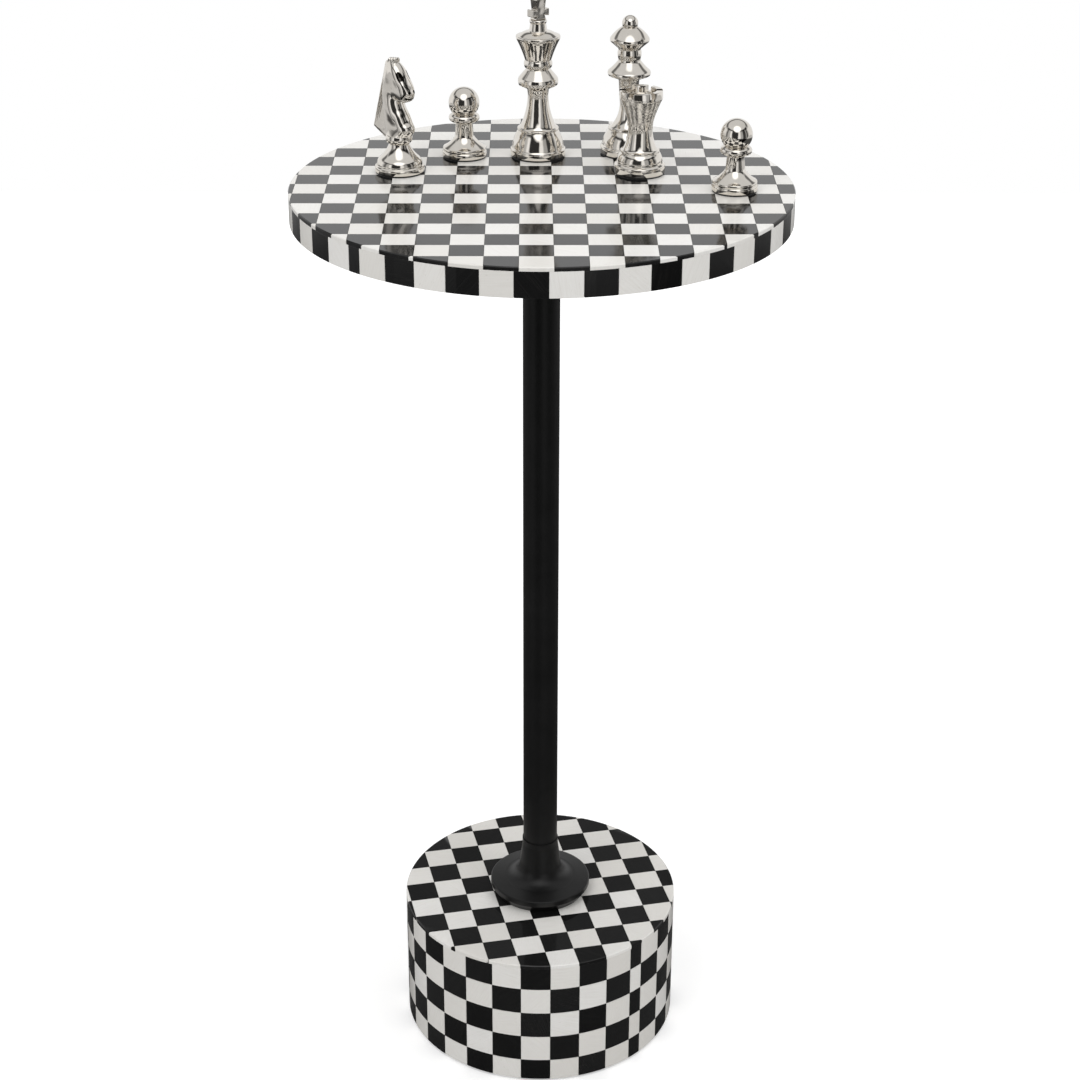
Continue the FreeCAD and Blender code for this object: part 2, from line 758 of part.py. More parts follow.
def rook(label):
    corners, top_level = climb([
        ("rook_plinth_radius", None, None),
        ("rook_plinth_radius", "rook_plinth_height", None),
        ("rook_bell_radius", "foot_chamfer", None),
        ("rook_bell_top_radius", "rook_bell_height", "rook_bell_bulge"),
        ("rook_ring_radius", None, None),
        ("rook_ring_radius", "rook_ring_height", None),
        ("rook_sweep_radius", None, None),
        ("rook_waist_radius", "rook_sweep_height", "-rook_sweep_hollow"),
        ("rook_neck_radius", "rook_neck_height", None),
        ("rook_flare_radius", "rook_flare_height", "-rook_flare_hollow"),
        ("rook_crown_radius", "foot_chamfer", None),
        ("rook_crown_radius", "rook_crown_height", None),
        ("rook_cup_radius", None, None),
    ])
    cup_floor = top_level + ["-rook_cup_depth"]
    corners += [(["rook_cup_radius"], cup_floor, None), ([], cup_floor, None)]
    body = turned(label, corners)
    slot = new_sketch(body, label + "_slot", "XY_Plane")
    slot.setExpression("AttachmentOffset.Base.z", formula(top_level))
    past_rim = ["rook_crown_radius", "rook_crenel_half"]
    draw_outline(slot, [
        ([], ["-rook_crenel_half"], None),
        (past_rim, ["-rook_crenel_half"], None),
        (past_rim, ["rook_crenel_half"], None),
        ([], ["rook_crenel_half"], None),
    ])
    crenel = body.newObject("PartDesign::Pocket", label + "_crenel")
    crenel.Profile = slot
    crenel.setExpression("Length", "sizes.rook_crenel_depth")
    crenels = body.newObject("PartDesign::PolarPattern", label + "_crenels")
    crenels.Originals = [crenel]
    crenels.Axis = (slot, ["N_Axis"])
    crenels.Angle = 360.0
    crenels.setExpression("Occurrences", "sizes.rook_crenel_count")
    body.Tip = crenels
    stand(label, body, "rook_plinth_radius")


def king(label):
    corners, finial_level = climb([
        ("king_plinth_radius", None, None),
        ("king_plinth_radius", "king_plinth_height", None),
        ("king_bell_radius", "foot_chamfer", None),
        ("king_bell_top_radius", "king_bell_height", "king_bell_bulge"),
        ("king_ring_radius", None, None),
        ("king_ring_radius", "king_ring_height", None),
        ("king_sweep_radius", None, None),
        ("king_waist_radius", "king_sweep_height", "-king_sweep_hollow"),
        ("king_stem_radius", "king_stem_height", None),
        ("king_collar_radius", "king_collar_under", None),
        ("king_collar_radius", "king_collar_edge", "king_collar_bulge"),
        ("king_neck_radius", "king_collar_over", None),
        ("king_neck_radius", "king_neck_height", None),
        ("king_bead_radius", None, None),
        ("king_bead_radius", "king_bead_height", "king_bead_bulge"),
        ("king_crown_radius", "king_crown_height", "-king_crown_hollow"),
        ("king_crown_radius", "king_crown_edge", None),
        ("king_dome_radius", None, None),
        ("king_finial_foot_radius", "king_dome_height", "king_dome_bulge"),
        ("king_finial_radius", "king_finial_height", None),
        ("king_finial_radius", "king_button_height", "king_button_bulge"),
        (None, None, None),
    ])
    root_low = ["king_cross_level", "-king_cross_arm_root"]
    root_high = ["king_cross_level", "king_cross_arm_root"]
    arm_low = ["king_cross_level", "-king_cross_arm_end"]
    arm_high = ["king_cross_level", "king_cross_arm_end"]
    cross_corners = mirrored([
        (["king_cross_end"], []),
        (["king_cross_waist"], root_low),
        (["king_cross_reach"], arm_low),
        (["king_cross_reach"], arm_high),
        (["king_cross_waist"], root_high),
        (["king_cross_end"], ["king_cross_height"]),
    ])
    cross = padded(label + "_cross", "XZ_Plane", cross_corners, ["king_cross_depth"], True)
    cross.Placement = Placement(Vector(), Rotation(Vector(0, 0, 1), size("king_cross_turn")))
    raise_to(cross, finial_level)
    stand(label, fused(label, [turned(label, corners), cross]), "king_plinth_radius")


def queen(label):
    corners, button_level = climb([
        ("queen_plinth_radius", None, None),
        ("queen_plinth_radius", "queen_plinth_height", None),
        ("queen_bell_radius", "foot_chamfer", None),
        ("queen_bell_top_radius", "queen_bell_height", "queen_bell_bulge"),
        ("queen_ring_radius", None, None),
        ("queen_ring_radius", "queen_ring_height", None),
        ("queen_sweep_radius", None, None),
        ("queen_stem_foot_radius", "queen_sweep_height", "-queen_sweep_hollow"),
        ("queen_stem_radius", "queen_stem_height", None),
        ("queen_skirt_radius", "queen_skirt_under", None),
        ("queen_skirt_radius", "queen_skirt_edge", "queen_skirt_bulge"),
        ("queen_neck_radius", "queen_skirt_over", "-queen_skirt_hollow"),
        ("queen_neck_radius", "queen_neck_height", None),
        ("queen_neck_radius", "queen_bead_height", "queen_bead_bulge"),
        ("queen_neck_radius", "queen_throat_height", None),
        ("queen_brim_radius", "queen_brim_under", None),
        ("queen_brim_radius", "queen_brim_edge", None),
        ("queen_button_radius", "queen_hat_height", "queen_hat_bulge"),
        (None, None, None),
    ])
    head = ball(label, "queen_ball_radius", "queen_ball_sink", button_level)
    stand(label, fused(label, [turned(label, corners), head]), "queen_plinth_radius")


def knight(label):
    corners, ring_top = climb([
        ("knight_plinth_radius", None, None),
        ("knight_plinth_radius", "knight_plinth_height", None),
        ("knight_bell_radius", "foot_chamfer", None),
        ("knight_bell_top_radius", "knight_bell_height", "knight_bell_bulge"),
        ("knight_waist_radius", "knight_sweep_height", "-knight_sweep_hollow"),
        ("knight_ring_radius", "knight_ring_under", None),
        ("knight_ring_radius", "knight_ring_height", "knight_ring_bulge"),
        (None, None, None),
    ])
    # Side view of the horse, from the chest's foot up over the muzzle and down the neck.
    side_view = [
        (["horse_foot_reach"], [], "horse_chest_bulge"),
        (["horse_chest_reach"], ["horse_chest_level"], "-horse_throat_hollow"),
        (["-horse_throat_back"], ["horse_throat_level"], None),
        (["horse_chin_reach"], ["horse_chin_level"], None),
        (["horse_lip_reach"], ["horse_lip_level"], None),
        (["horse_nose_reach"], ["horse_nose_level"], None),
        (["horse_brow_reach"], ["horse_brow_level"], None),
        (["-horse_ear_back"], ["horse_ear_level"], None),
        (["-horse_poll_back"], ["horse_poll_level"], "horse_crest_bulge"),
        (["-horse_root_back"], [], None),
    ]
    # Seen from above, the neck is a long oval that narrows to the muzzle.
    plan_view = [
        (["-horse_nape_back"], ["-horse_nape_half"], "horse_flank_bulge"),
        ([], ["-horse_half_width"], "horse_flank_bulge"),
        (["horse_nose_reach"], ["-horse_muzzle_half"], None),
        (["horse_nose_reach"], ["horse_muzzle_half"], "horse_flank_bulge"),
        ([], ["horse_half_width"], "horse_flank_bulge"),
        (["-horse_nape_back"], ["horse_nape_half"], None),
    ]
    # Seen from the front, it narrows upwards and ends in two ears with a notch between them.
    front_view = mirrored([
        (["horse_half_width"], []),
        (["horse_neck_half"], ["horse_neck_level"]),
        (["horse_cheek_half"], ["horse_cheek_level"]),
        (["horse_temple_half"], ["horse_temple_level"]),
        (["horse_ear_half"], ["horse_notch_level"]),
        (["horse_ear_tip"], ["horse_ear_level"]),
        ([], ["horse_notch_level"]),
    ])
    whole_width = ["horse_half_width", "horse_half_width"]
    whole_length = ["mane_tail_back", "mane_tail_back"]
    head = doc.addObject("Part::MultiCommon", label + "_head")
    head.Shapes = [
        raise_to(padded(label + "_side", "XZ_Plane", side_view, whole_width, True), ring_top),
        raise_to(padded(label + "_plan", "XY_Plane", plan_view, ["horse_ear_level"], False), ring_top),
        raise_to(padded(label + "_front", "YZ_Plane", front_view, whole_length, True), ring_top),
    ]
    mane_view = [
        (["-mane_inside"], ["-mane_foot_drop"], None),
        (["-mane_inside"], ["mane_top_level"], None),
        (["-mane_top_back"], ["mane_top_level"], None),
        (["-mane_tail_back"], ["mane_tail_level"], None),
        (["-mane_foot_back"], ["-mane_foot_drop"], None),
    ]
    mane_width = ["mane_half", "mane_half"]
    mane = raise_to(padded(label + "_mane", "XZ_Plane", mane_view, mane_width, True), ring_top)
    figure = fused(label, [turned(label, corners), head, mane])
    figure.Placement = Placement(Vector(), Rotation(Vector(0, 0, 1), size("horse_turn")))
    stand(label, figure, "knight_plinth_radius")


king("king")
queen("queen")
rook("rook")
knight("knight")
pawn("pawn_left")
pawn("pawn_right")

doc.recompute()

for item in doc.Objects:
    failed = [state for state in item.State if state in ("Invalid", "Error")]
    if failed:
        raise RuntimeError(f"{item.Label} did not compute: {failed}")
for label, piece in nodes.items():
    if piece.Shape.isNull() or not piece.Shape.isValid():
        raise RuntimeError(f"{label} has no valid shape")

os.makedirs("parts", exist_ok=True)
for label, piece in nodes.items():
    piece.Shape.exportStep(f"parts/{label}.step")
    print(f"{label}: {len(piece.Shape.Solids)} solids, {piece.Shape.Volume / 1000:.2f} cm3")
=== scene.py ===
# %% [markdown]
# # Chess side table
# A small drinks table: a round checkered top, a black steel column, a heavy checkered drum
# as its foot, and six polished chess figures standing on the top.
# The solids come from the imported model. This script gives every visible surface its finish,
# softens the tiles' edges, and sets up the studio and the camera.

import json
import math
import random

import bmesh
import bpy
from mathutils import Matrix, Vector

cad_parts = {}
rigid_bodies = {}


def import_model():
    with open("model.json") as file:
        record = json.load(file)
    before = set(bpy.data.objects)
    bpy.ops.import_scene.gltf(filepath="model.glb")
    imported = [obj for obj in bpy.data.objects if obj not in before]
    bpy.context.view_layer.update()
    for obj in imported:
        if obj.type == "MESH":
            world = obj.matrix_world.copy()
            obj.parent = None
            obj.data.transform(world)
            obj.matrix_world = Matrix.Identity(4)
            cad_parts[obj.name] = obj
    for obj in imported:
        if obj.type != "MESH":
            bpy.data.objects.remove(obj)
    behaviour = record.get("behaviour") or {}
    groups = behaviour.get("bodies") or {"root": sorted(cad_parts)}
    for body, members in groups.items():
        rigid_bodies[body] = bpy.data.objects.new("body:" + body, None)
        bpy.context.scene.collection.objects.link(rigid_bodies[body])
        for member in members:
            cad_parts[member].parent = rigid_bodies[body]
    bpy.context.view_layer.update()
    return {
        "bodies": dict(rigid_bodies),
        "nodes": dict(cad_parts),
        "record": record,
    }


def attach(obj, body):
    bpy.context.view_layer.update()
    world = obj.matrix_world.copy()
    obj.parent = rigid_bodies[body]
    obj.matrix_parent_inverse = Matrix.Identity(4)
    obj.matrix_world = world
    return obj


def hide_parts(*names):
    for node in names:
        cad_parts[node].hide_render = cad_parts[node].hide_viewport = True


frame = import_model()

MM = 0.001
TILE_PLACES = ["top", "rim", "base_top", "base_side"]


# %% [markdown]
# ## Camera
# The photograph was taken from in front and above with a long lens. Its place, tilt and
# focal length were worked out from the ellipses of the top and the drum.

# %% Camera at the photograph's viewpoint
SENSOR_WIDTH = 36.0
LENS = 75.85
CAMERA_PLACE = Vector((-0.0005, -1.0900, 0.8213))
CAMERA_TILT = math.radians(90.0 - 25.644)
CAMERA_ROLL = math.radians(0.129)

camera_data = bpy.data.cameras.new("studio_camera")
camera_data.sensor_width = SENSOR_WIDTH
camera_data.lens = LENS
camera = bpy.data.objects.new("studio_camera", camera_data)
bpy.context.scene.collection.objects.link(camera)
tilt = Matrix.Rotation(CAMERA_TILT, 4, "X")
roll = Matrix.Rotation(CAMERA_ROLL, 4, "Z")
camera.matrix_world = Matrix.Translation(CAMERA_PLACE) @ tilt @ roll
bpy.context.scene.camera = camera
bpy.context.scene.view_settings.view_transform = "Standard"
print("camera:", [round(value, 4) for value in CAMERA_PLACE])


# %% [markdown]
# ## Node helpers
# A material is a small graph. These helpers keep each graph short: one adds a node with its
# settings, one starts a material with its Principled shader, and the others add a texture, a
# sum, a mix or a soft edge and hand back the socket that the next node needs.

# %% Helpers for building node graphs


def add_node(tree, kind, **settings):
    node = tree.nodes.new(kind)
    for name, value in settings.items():
        setattr(node, name, value)
    return node


def set_inputs(node, **values):
    for name, value in values.items():
        node.inputs[name.replace("_", " ")].default_value = value
    return node


def new_finish(name):
    material = bpy.data.materials.new(name)
    material.use_nodes = True
    shader = material.node_tree.nodes["Principled BSDF"]
    return material, material.node_tree, shader


def color_ramp(tree, source, stops):
    ramp = add_node(tree, "ShaderNodeValToRGB")
    elements = ramp.color_ramp.elements
    while len(elements) < len(stops):
        elements.new(0.5)
    for element, (position, color) in zip(elements, stops):
        element.position = position
        element.color = (*color, 1.0) if isinstance(color, tuple) else (color, color, color, 1.0)
    tree.links.new(source, ramp.inputs["Fac"])
    return ramp.outputs["Color"]


def noise(tree, vector, scale, detail, roughness):
    texture = add_node(tree, "ShaderNodeTexNoise")
    set_inputs(texture, Scale=scale, Detail=detail, Roughness=roughness)
    tree.links.new(vector, texture.inputs["Vector"])
    return texture.outputs["Fac"]


def math_node(tree, operation, first, second, clamp=False):
    node = add_node(tree, "ShaderNodeMath", operation=operation, use_clamp=clamp)
    for socket, value in zip(node.inputs, (first, second)):
        if isinstance(value, (int, float)):
            socket.default_value = value
        else:
            tree.links.new(value, socket)
    return node.outputs["Value"]


def bump(tree, height, distance, strength):
    node = add_node(tree, "ShaderNodeBump")
    set_inputs(node, Distance=distance, Strength=strength)
    tree.links.new(height, node.inputs["Height"])
    return node.outputs["Normal"]


def object_coordinates(tree):
    return add_node(tree, "ShaderNodeTexCoord").outputs["Object"]


def mix(tree, kind, factor, first, second):
    """A mix of two colours or two values, each given as a constant or as a socket."""
    node = add_node(tree, "ShaderNodeMix", data_type=kind)
    sockets = (0, 6, 7) if kind == "RGBA" else (0, 2, 3)
    for index, value in zip(sockets, (factor, first, second)):
        if isinstance(value, tuple):
            node.inputs[index].default_value = (*value, 1.0)
        elif isinstance(value, float):
            node.inputs[index].default_value = value
        else:
            tree.links.new(value, node.inputs[index])
    return node.outputs[2 if kind == "RGBA" else 0]


def mix_colors(tree, factor, first, second):
    return mix(tree, "RGBA", factor, first, second)


def blend(tree, factor, first, second):
    return mix(tree, "FLOAT", factor, first, second)


def soft_step(tree, value, start, end, low, high):
    node = add_node(tree, "ShaderNodeMapRange", interpolation_type="SMOOTHSTEP")
    set_inputs(node, From_Min=start, From_Max=end, To_Min=low, To_Max=high)
    tree.links.new(value, node.inputs["Value"])
    return node.outputs["Result"]


print("node helpers for Blender", bpy.app.version_string)


# %% [markdown]
# ## Studio
# A sheet of white paper lies under the table and runs far back, and a soft white dome lights
# it. Polished metal and lacquer show what stands round them, so mirror reflections see soft
# cards with dark gaps between them, a ceiling with a lantern high above the camera, and the
# white backdrop low behind. The gaps draw the dark streaks on the figures, and the lantern
# their bright spots.

# %% Floor
FLOOR_WIDTH = 9.0
FLOOR_FRONT = -0.38
FLOOR_BACK = 1.6
FLOOR_PAPER = (0.83, 0.83, 0.83)
FLOOR_SHADED = (0.08, 0.08, 0.08)
FLOOR_ROUGHNESS = 0.9
FLOOR_SPECULAR = 0.1
# In mirrors the paper is shaded near the table. To the camera it glows more with the distance.
SHADED_EDGE = (1.4, 1.9)
GLOW_EDGE = (0.7, 2.2)
FLOOR_LIFT = (0.40, 1.0)
WHITE = (1.0, 1.0, 1.0, 1.0)

bpy.ops.object.select_all(action="DESELECT")
bpy.ops.mesh.primitive_plane_add(size=1.0)
floor = bpy.context.object
floor.name = "studio_floor"
floor.data.transform(Matrix.Diagonal((FLOOR_WIDTH, FLOOR_BACK - FLOOR_FRONT, 1.0, 1.0)))
floor.data.transform(Matrix.Translation((0.0, (FLOOR_BACK + FLOOR_FRONT) / 2, 0.0)))
floor_finish, tree, shader = new_finish("studio_floor_paper")
set_inputs(shader, Roughness=FLOOR_ROUGHNESS, Specular_IOR_Level=FLOOR_SPECULAR, Emission_Color=WHITE)
seen = add_node(tree, "ShaderNodeLightPath")
distance = add_node(tree, "ShaderNodeVectorMath", operation="LENGTH")
tree.links.new(object_coordinates(tree), distance.inputs[0])
near = soft_step(tree, distance.outputs["Value"], *SHADED_EDGE, 1.0, 0.0)
shaded = math_node(tree, "MULTIPLY", seen.outputs["Is Glossy Ray"], near)
paper = mix_colors(tree, shaded, FLOOR_PAPER, FLOOR_SHADED)
tree.links.new(paper, shader.inputs["Base Color"])
glow = soft_step(tree, distance.outputs["Value"], *GLOW_EDGE, *FLOOR_LIFT)
lift = math_node(tree, "MULTIPLY", seen.outputs["Is Camera Ray"], glow)
tree.links.new(lift, shader.inputs["Emission Strength"])
floor.data.materials.append(floor_finish)
print("floor:", floor.name)

# %% White dome, with soft cards for reflections
DOME_LIGHT = 0.62
BACKDROP_LIGHT = 0.87
CEILING_LIGHT = 0.68
LANTERN_LIGHT = 1.5
CARD_LIGHT = 1.05
# Brightness of the cards, as a share, by their bearing in degrees from the camera's side
CARDS = [
    (-180, 0.15), (-112, 0.15), (-104, 0.45), (-92, 0.10), (-75, 0.10), (-69, 0.45), (-55, 0.50),
    (-51, 0.90), (-42, 0.90), (-37, 0.03), (4, 0.03), (9, 0.90), (21, 0.90), (27, 0.38), (40, 0.38),
    (45, 0.04), (64, 0.04), (67, 0.50), (70, 0.40), (73, 0.03), (92, 0.03), (97, 0.40), (104, 0.40),
    (112, 0.15), (180, 0.15),
]
# Soft edges, as components of the direction
BACKDROP_SIDE = (-0.25, 0.15)
BACKDROP_TOP = (0.40, 0.53)
CORNICE_EDGE = (0.50, 0.58)
CEILING_EDGE = (0.62, 0.70)
LANTERN_EDGE = (0.885, 0.955)
LANTERN_WAY = (0.0, -0.60, 0.80)
CARD_FOOT = (-0.35, -0.26)
CORNICE_DEPTH = 0.9

world = bpy.data.worlds.new("studio_dome")
bpy.context.scene.world = world
world.use_nodes = True
tree = world.node_tree
background = tree.nodes["Background"]
set_inputs(background, Color=WHITE)
direction = add_node(tree, "ShaderNodeTexCoord").outputs["Generated"]
axes = add_node(tree, "ShaderNodeSeparateXYZ")
tree.links.new(direction, axes.inputs["Vector"])
across, along, up = (axes.outputs[axis] for axis in "XYZ")

ahead = math_node(tree, "MULTIPLY", along, -1.0)
turns = math_node(tree, "DIVIDE", math_node(tree, "ARCTAN2", across, ahead), 2 * math.pi)
bearing = math_node(tree, "ADD", turns, 0.5)
share = color_ramp(tree, bearing, [(angle / 360.0 + 0.5, level) for angle, level in CARDS])
standing = soft_step(tree, up, *CARD_FOOT, 0.0, CARD_LIGHT)
cards = math_node(tree, "MULTIPLY", share, standing)
behind = soft_step(tree, along, *BACKDROP_SIDE, 0.0, 1.0)
below = soft_step(tree, up, *BACKDROP_TOP, 1.0, 0.0)
backdrop = math_node(tree, "MULTIPLY", behind, below)
cornice = soft_step(tree, up, *CORNICE_EDGE, 0.0, CORNICE_DEPTH)
gap = math_node(tree, "MULTIPLY", cornice, math_node(tree, "SUBTRACT", 1.0, behind))
hung = blend(tree, gap, cards, 0.0)
walls = blend(tree, backdrop, hung, BACKDROP_LIGHT)
ceiling = soft_step(tree, up, *CEILING_EDGE, 0.0, 1.0)
room = blend(tree, ceiling, walls, CEILING_LIGHT)
towards = add_node(tree, "ShaderNodeVectorMath", operation="DOT_PRODUCT")
tree.links.new(direction, towards.inputs[0])
towards.inputs[1].default_value = LANTERN_WAY
lantern = soft_step(tree, towards.outputs["Value"], *LANTERN_EDGE, 0.0, 1.0)
mirrored = blend(tree, lantern, room, LANTERN_LIGHT)
path = add_node(tree, "ShaderNodeLightPath")
lit = blend(tree, path.outputs["Is Glossy Ray"], DOME_LIGHT, mirrored)
clear = math_node(tree, "MAXIMUM", path.outputs["Is Camera Ray"], path.outputs["Is Transmission Ray"])
tree.links.new(blend(tree, clear, lit, 1.0), background.inputs["Strength"])
print("dome light:", DOME_LIGHT, "cards:", len(CARDS))

# %% Soft boxes
TABLE_MIDDLE = Vector((0.0, 0.0, 0.3))
# Name, place, width in metres and power in watts of each square lamp
SOFT_BOXES = [
    ("key_box", Vector((-0.8, -1.1, 1.9)), 1.0, 9.8),
    ("fill_box", Vector((1.1, -0.8, 1.7)), 1.0, 6.0),
    ("top_box", Vector((0.1, 0.6, 2.1)), 1.4, 6.0),
]


def soft_box(name, place, width, power):
    """A square lamp that looks at the table and stays out of mirrors."""
    data = bpy.data.lights.new(name, "AREA")
    data.size = width
    data.energy = power
    lamp = bpy.data.objects.new(name, data)
    bpy.context.scene.collection.objects.link(lamp)
    facing = (TABLE_MIDDLE - place).to_track_quat("-Z", "Y")
    lamp.matrix_world = Matrix.Translation(place) @ facing.to_matrix().to_4x4()
    lamp.visible_glossy = False


for box in SOFT_BOXES:
    soft_box(*box)


# %% [markdown]
# ## Tiles
# The mosaic is made of cast resin squares, glued down and polished. Each tile is a solid of
# its own in the model. A copy of it gets its sharp edges rounded a little with a bevel, so
# that every tile catches a thin line of light, and each tile gets its own grain direction
# and tone, kept in a UV map and an attribute that the material reads.

# %% Copies of the tiles with rounded edges
TILE_ROUND = 0.22 * MM
TILE_STEPS = 2
TILE_SHARP = 25.0
MERGE_DISTANCE = 0.002 * MM
FLAT_ANGLE = 0.5
UPWARD = 0.7


def work_copy(node, name):
    """A merged copy of a model node, ready to be shaped."""
    bpy.ops.object.select_all(action="DESELECT")
    source = frame["nodes"][node]
    piece = bpy.data.objects.new(name, source.data.copy())
    bpy.context.scene.collection.objects.link(piece)
    piece.data.materials.clear()
    bpy.context.view_layer.objects.active = piece
    piece.select_set(True)
    bpy.ops.object.mode_set(mode="EDIT")
    bpy.ops.mesh.select_all(action="SELECT")
    bpy.ops.mesh.remove_doubles(threshold=MERGE_DISTANCE)
    bpy.ops.mesh.dissolve_limited(angle_limit=math.radians(FLAT_ANGLE))
    bpy.ops.object.mode_set(mode="OBJECT")
    return piece


def round_edges(piece, width, segments, angle):
    """Round the edges that are sharper than an angle in degrees."""
    bevel = piece.modifiers.new("rounded_edges", "BEVEL")
    bevel.width = width
    bevel.segments = segments
    bevel.limit_method = "ANGLE"
    bevel.angle_limit = math.radians(angle)
    bevel.use_clamp_overlap = True
    bevel.harden_normals = True
    bpy.ops.object.select_all(action="DESELECT")
    piece.select_set(True)
    bpy.context.view_layer.objects.active = piece
    bpy.ops.object.shade_smooth_by_angle(angle=math.radians(angle))
    bpy.ops.object.modifier_apply(modifier=bevel.name)


def tile_islands(mesh):
    """Groups of face indices, one group for each tile."""
    shaped = bmesh.new()
    shaped.from_mesh(mesh)
    shaped.faces.ensure_lookup_table()
    seen_faces = set()
    groups = []
    for face in shaped.faces:
        if face.index in seen_faces:
            continue
        group = []
        waiting = [face]
        seen_faces.add(face.index)
        while waiting:
            here = waiting.pop()
            group.append(here.index)
            for edge in here.edges:
                for other in edge.link_faces:
                    if other.index not in seen_faces:
                        seen_faces.add(other.index)
                        waiting.append(other)
        groups.append(group)
    shaped.free()
    return groups


def lay_grain(piece, seed):
    """Give each tile a tone and a grain direction of its own."""
    draw = random.Random(seed)
    mesh = piece.data
    tone = mesh.attributes.new("tile_tone", "FLOAT", "FACE")
    while mesh.uv_layers:
        mesh.uv_layers.remove(mesh.uv_layers[0])
    grain = mesh.uv_layers.new(name="tile_grain")
    groups = tile_islands(mesh)
    for group in groups:
        level = draw.random()
        turn = draw.uniform(0.0, math.tau)
        shift = Vector((draw.uniform(-1.0, 1.0), draw.uniform(-1.0, 1.0)))
        largest = max(group, key=lambda index: mesh.polygons[index].area)
        normal = mesh.polygons[largest].normal
        upright = Vector((0.0, 1.0, 0.0)) if abs(normal.z) > UPWARD else Vector((0.0, 0.0, 1.0))
        across = upright.cross(normal).normalized()
        along = normal.cross(across)
        for index in group:
            tone.data[index].value = level
            for corner in mesh.polygons[index].loop_indices:
                place = mesh.vertices[mesh.loops[corner].vertex_index].co
                flat = Vector((place.dot(across), place.dot(along)))
                flat.rotate(Matrix.Rotation(turn, 2))
                grain.data[corner].uv = flat + shift
    return len(groups)


tile_pieces = {}
for seed, place in enumerate(TILE_PLACES):
    for colour in ("white", "black"):
        node = f"{place}_tiles_{colour}"
        piece = work_copy(node, node + "_polished")
        round_edges(piece, TILE_ROUND, TILE_STEPS, TILE_SHARP)
        count = lay_grain(piece, seed * 2 + (colour == "white"))
        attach(piece, "table")
        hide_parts(node)
        tile_pieces[node] = piece
        print(node, "tiles:", count, "faces:", len(piece.data.polygons))


# %% [markdown]
# ## Finish of the tiles
# The white tiles look like polished bone: warm white with faint lines along the grain and a
# few small pores. The black ones are plain with a slightly uneven polish. Both are clear
# lacquered, so at a low angle they mirror the white studio.

# %% Shared group: hand polish


def hand_polish_group():
    """Slow waves and fine scuffs left by polishing, as a roughness and a height."""
    group = bpy.data.node_groups.new("hand_polish", "ShaderNodeTree")
    faces = group.interface
    faces.new_socket("Vector", in_out="INPUT", socket_type="NodeSocketVector")
    faces.new_socket("Base Roughness", in_out="INPUT", socket_type="NodeSocketFloat")
    faces.new_socket("Spread", in_out="INPUT", socket_type="NodeSocketFloat")
    faces.new_socket("Wave Scale", in_out="INPUT", socket_type="NodeSocketFloat")
    faces.new_socket("Roughness", in_out="OUTPUT", socket_type="NodeSocketFloat")
    faces.new_socket("Height", in_out="OUTPUT", socket_type="NodeSocketFloat")
    entry = add_node(group, "NodeGroupInput")
    leave = add_node(group, "NodeGroupOutput")
    waves = add_node(group, "ShaderNodeTexNoise")
    set_inputs(waves, Detail=1.0)
    group.links.new(entry.outputs["Vector"], waves.inputs["Vector"])
    group.links.new(entry.outputs["Wave Scale"], waves.inputs["Scale"])
    scuffs = noise(group, entry.outputs["Vector"], scale=900.0, detail=4.0, roughness=0.7)
    off = math_node(group, "SUBTRACT", scuffs, 0.5)
    spread = math_node(group, "MULTIPLY", off, entry.outputs["Spread"])
    rough = math_node(group, "ADD", spread, entry.outputs["Base Roughness"], clamp=True)
    group.links.new(rough, leave.inputs["Roughness"])
    group.links.new(waves.outputs["Fac"], leave.inputs["Height"])
    return group


HAND_POLISH = hand_polish_group()


def polish(tree, vector, base, spread, wave_scale):
    node = add_node(tree, "ShaderNodeGroup", node_tree=HAND_POLISH)
    set_inputs(node, Base_Roughness=base, Spread=spread, Wave_Scale=wave_scale)
    tree.links.new(vector, node.inputs["Vector"])
    return node.outputs["Roughness"], node.outputs["Height"]


print("group:", HAND_POLISH.name)

# %% White and black tile materials


def stretched(tree, vector, along, across):
    """The grain's coordinates, scaled along and across its lines."""
    mapping = add_node(tree, "ShaderNodeMapping")
    mapping.inputs["Scale"].default_value = (across, along, 1.0)
    tree.links.new(vector, mapping.inputs["Vector"])
    return mapping.outputs["Vector"]


# Stops of a ramp are (position, colour or level)
WHITE_TONES = [(0.0, (0.79, 0.77, 0.73)), (0.55, (0.86, 0.845, 0.81)), (1.0, (0.89, 0.88, 0.855))]
WHITE_LINE = (0.70, 0.67, 0.62)
WHITE_CLOUD = (0.78, 0.76, 0.72)
WHITE_PORE = (0.50, 0.46, 0.40)
BLACK_TONES = [(0.0, 0.006), (1.0, 0.014)]
BLACK_LINE = (0.030, 0.029, 0.027)
BLACK_SPECULAR = 0.43
WAVE_BUMP = {"distance": 0.08 * MM, "strength": 0.35}


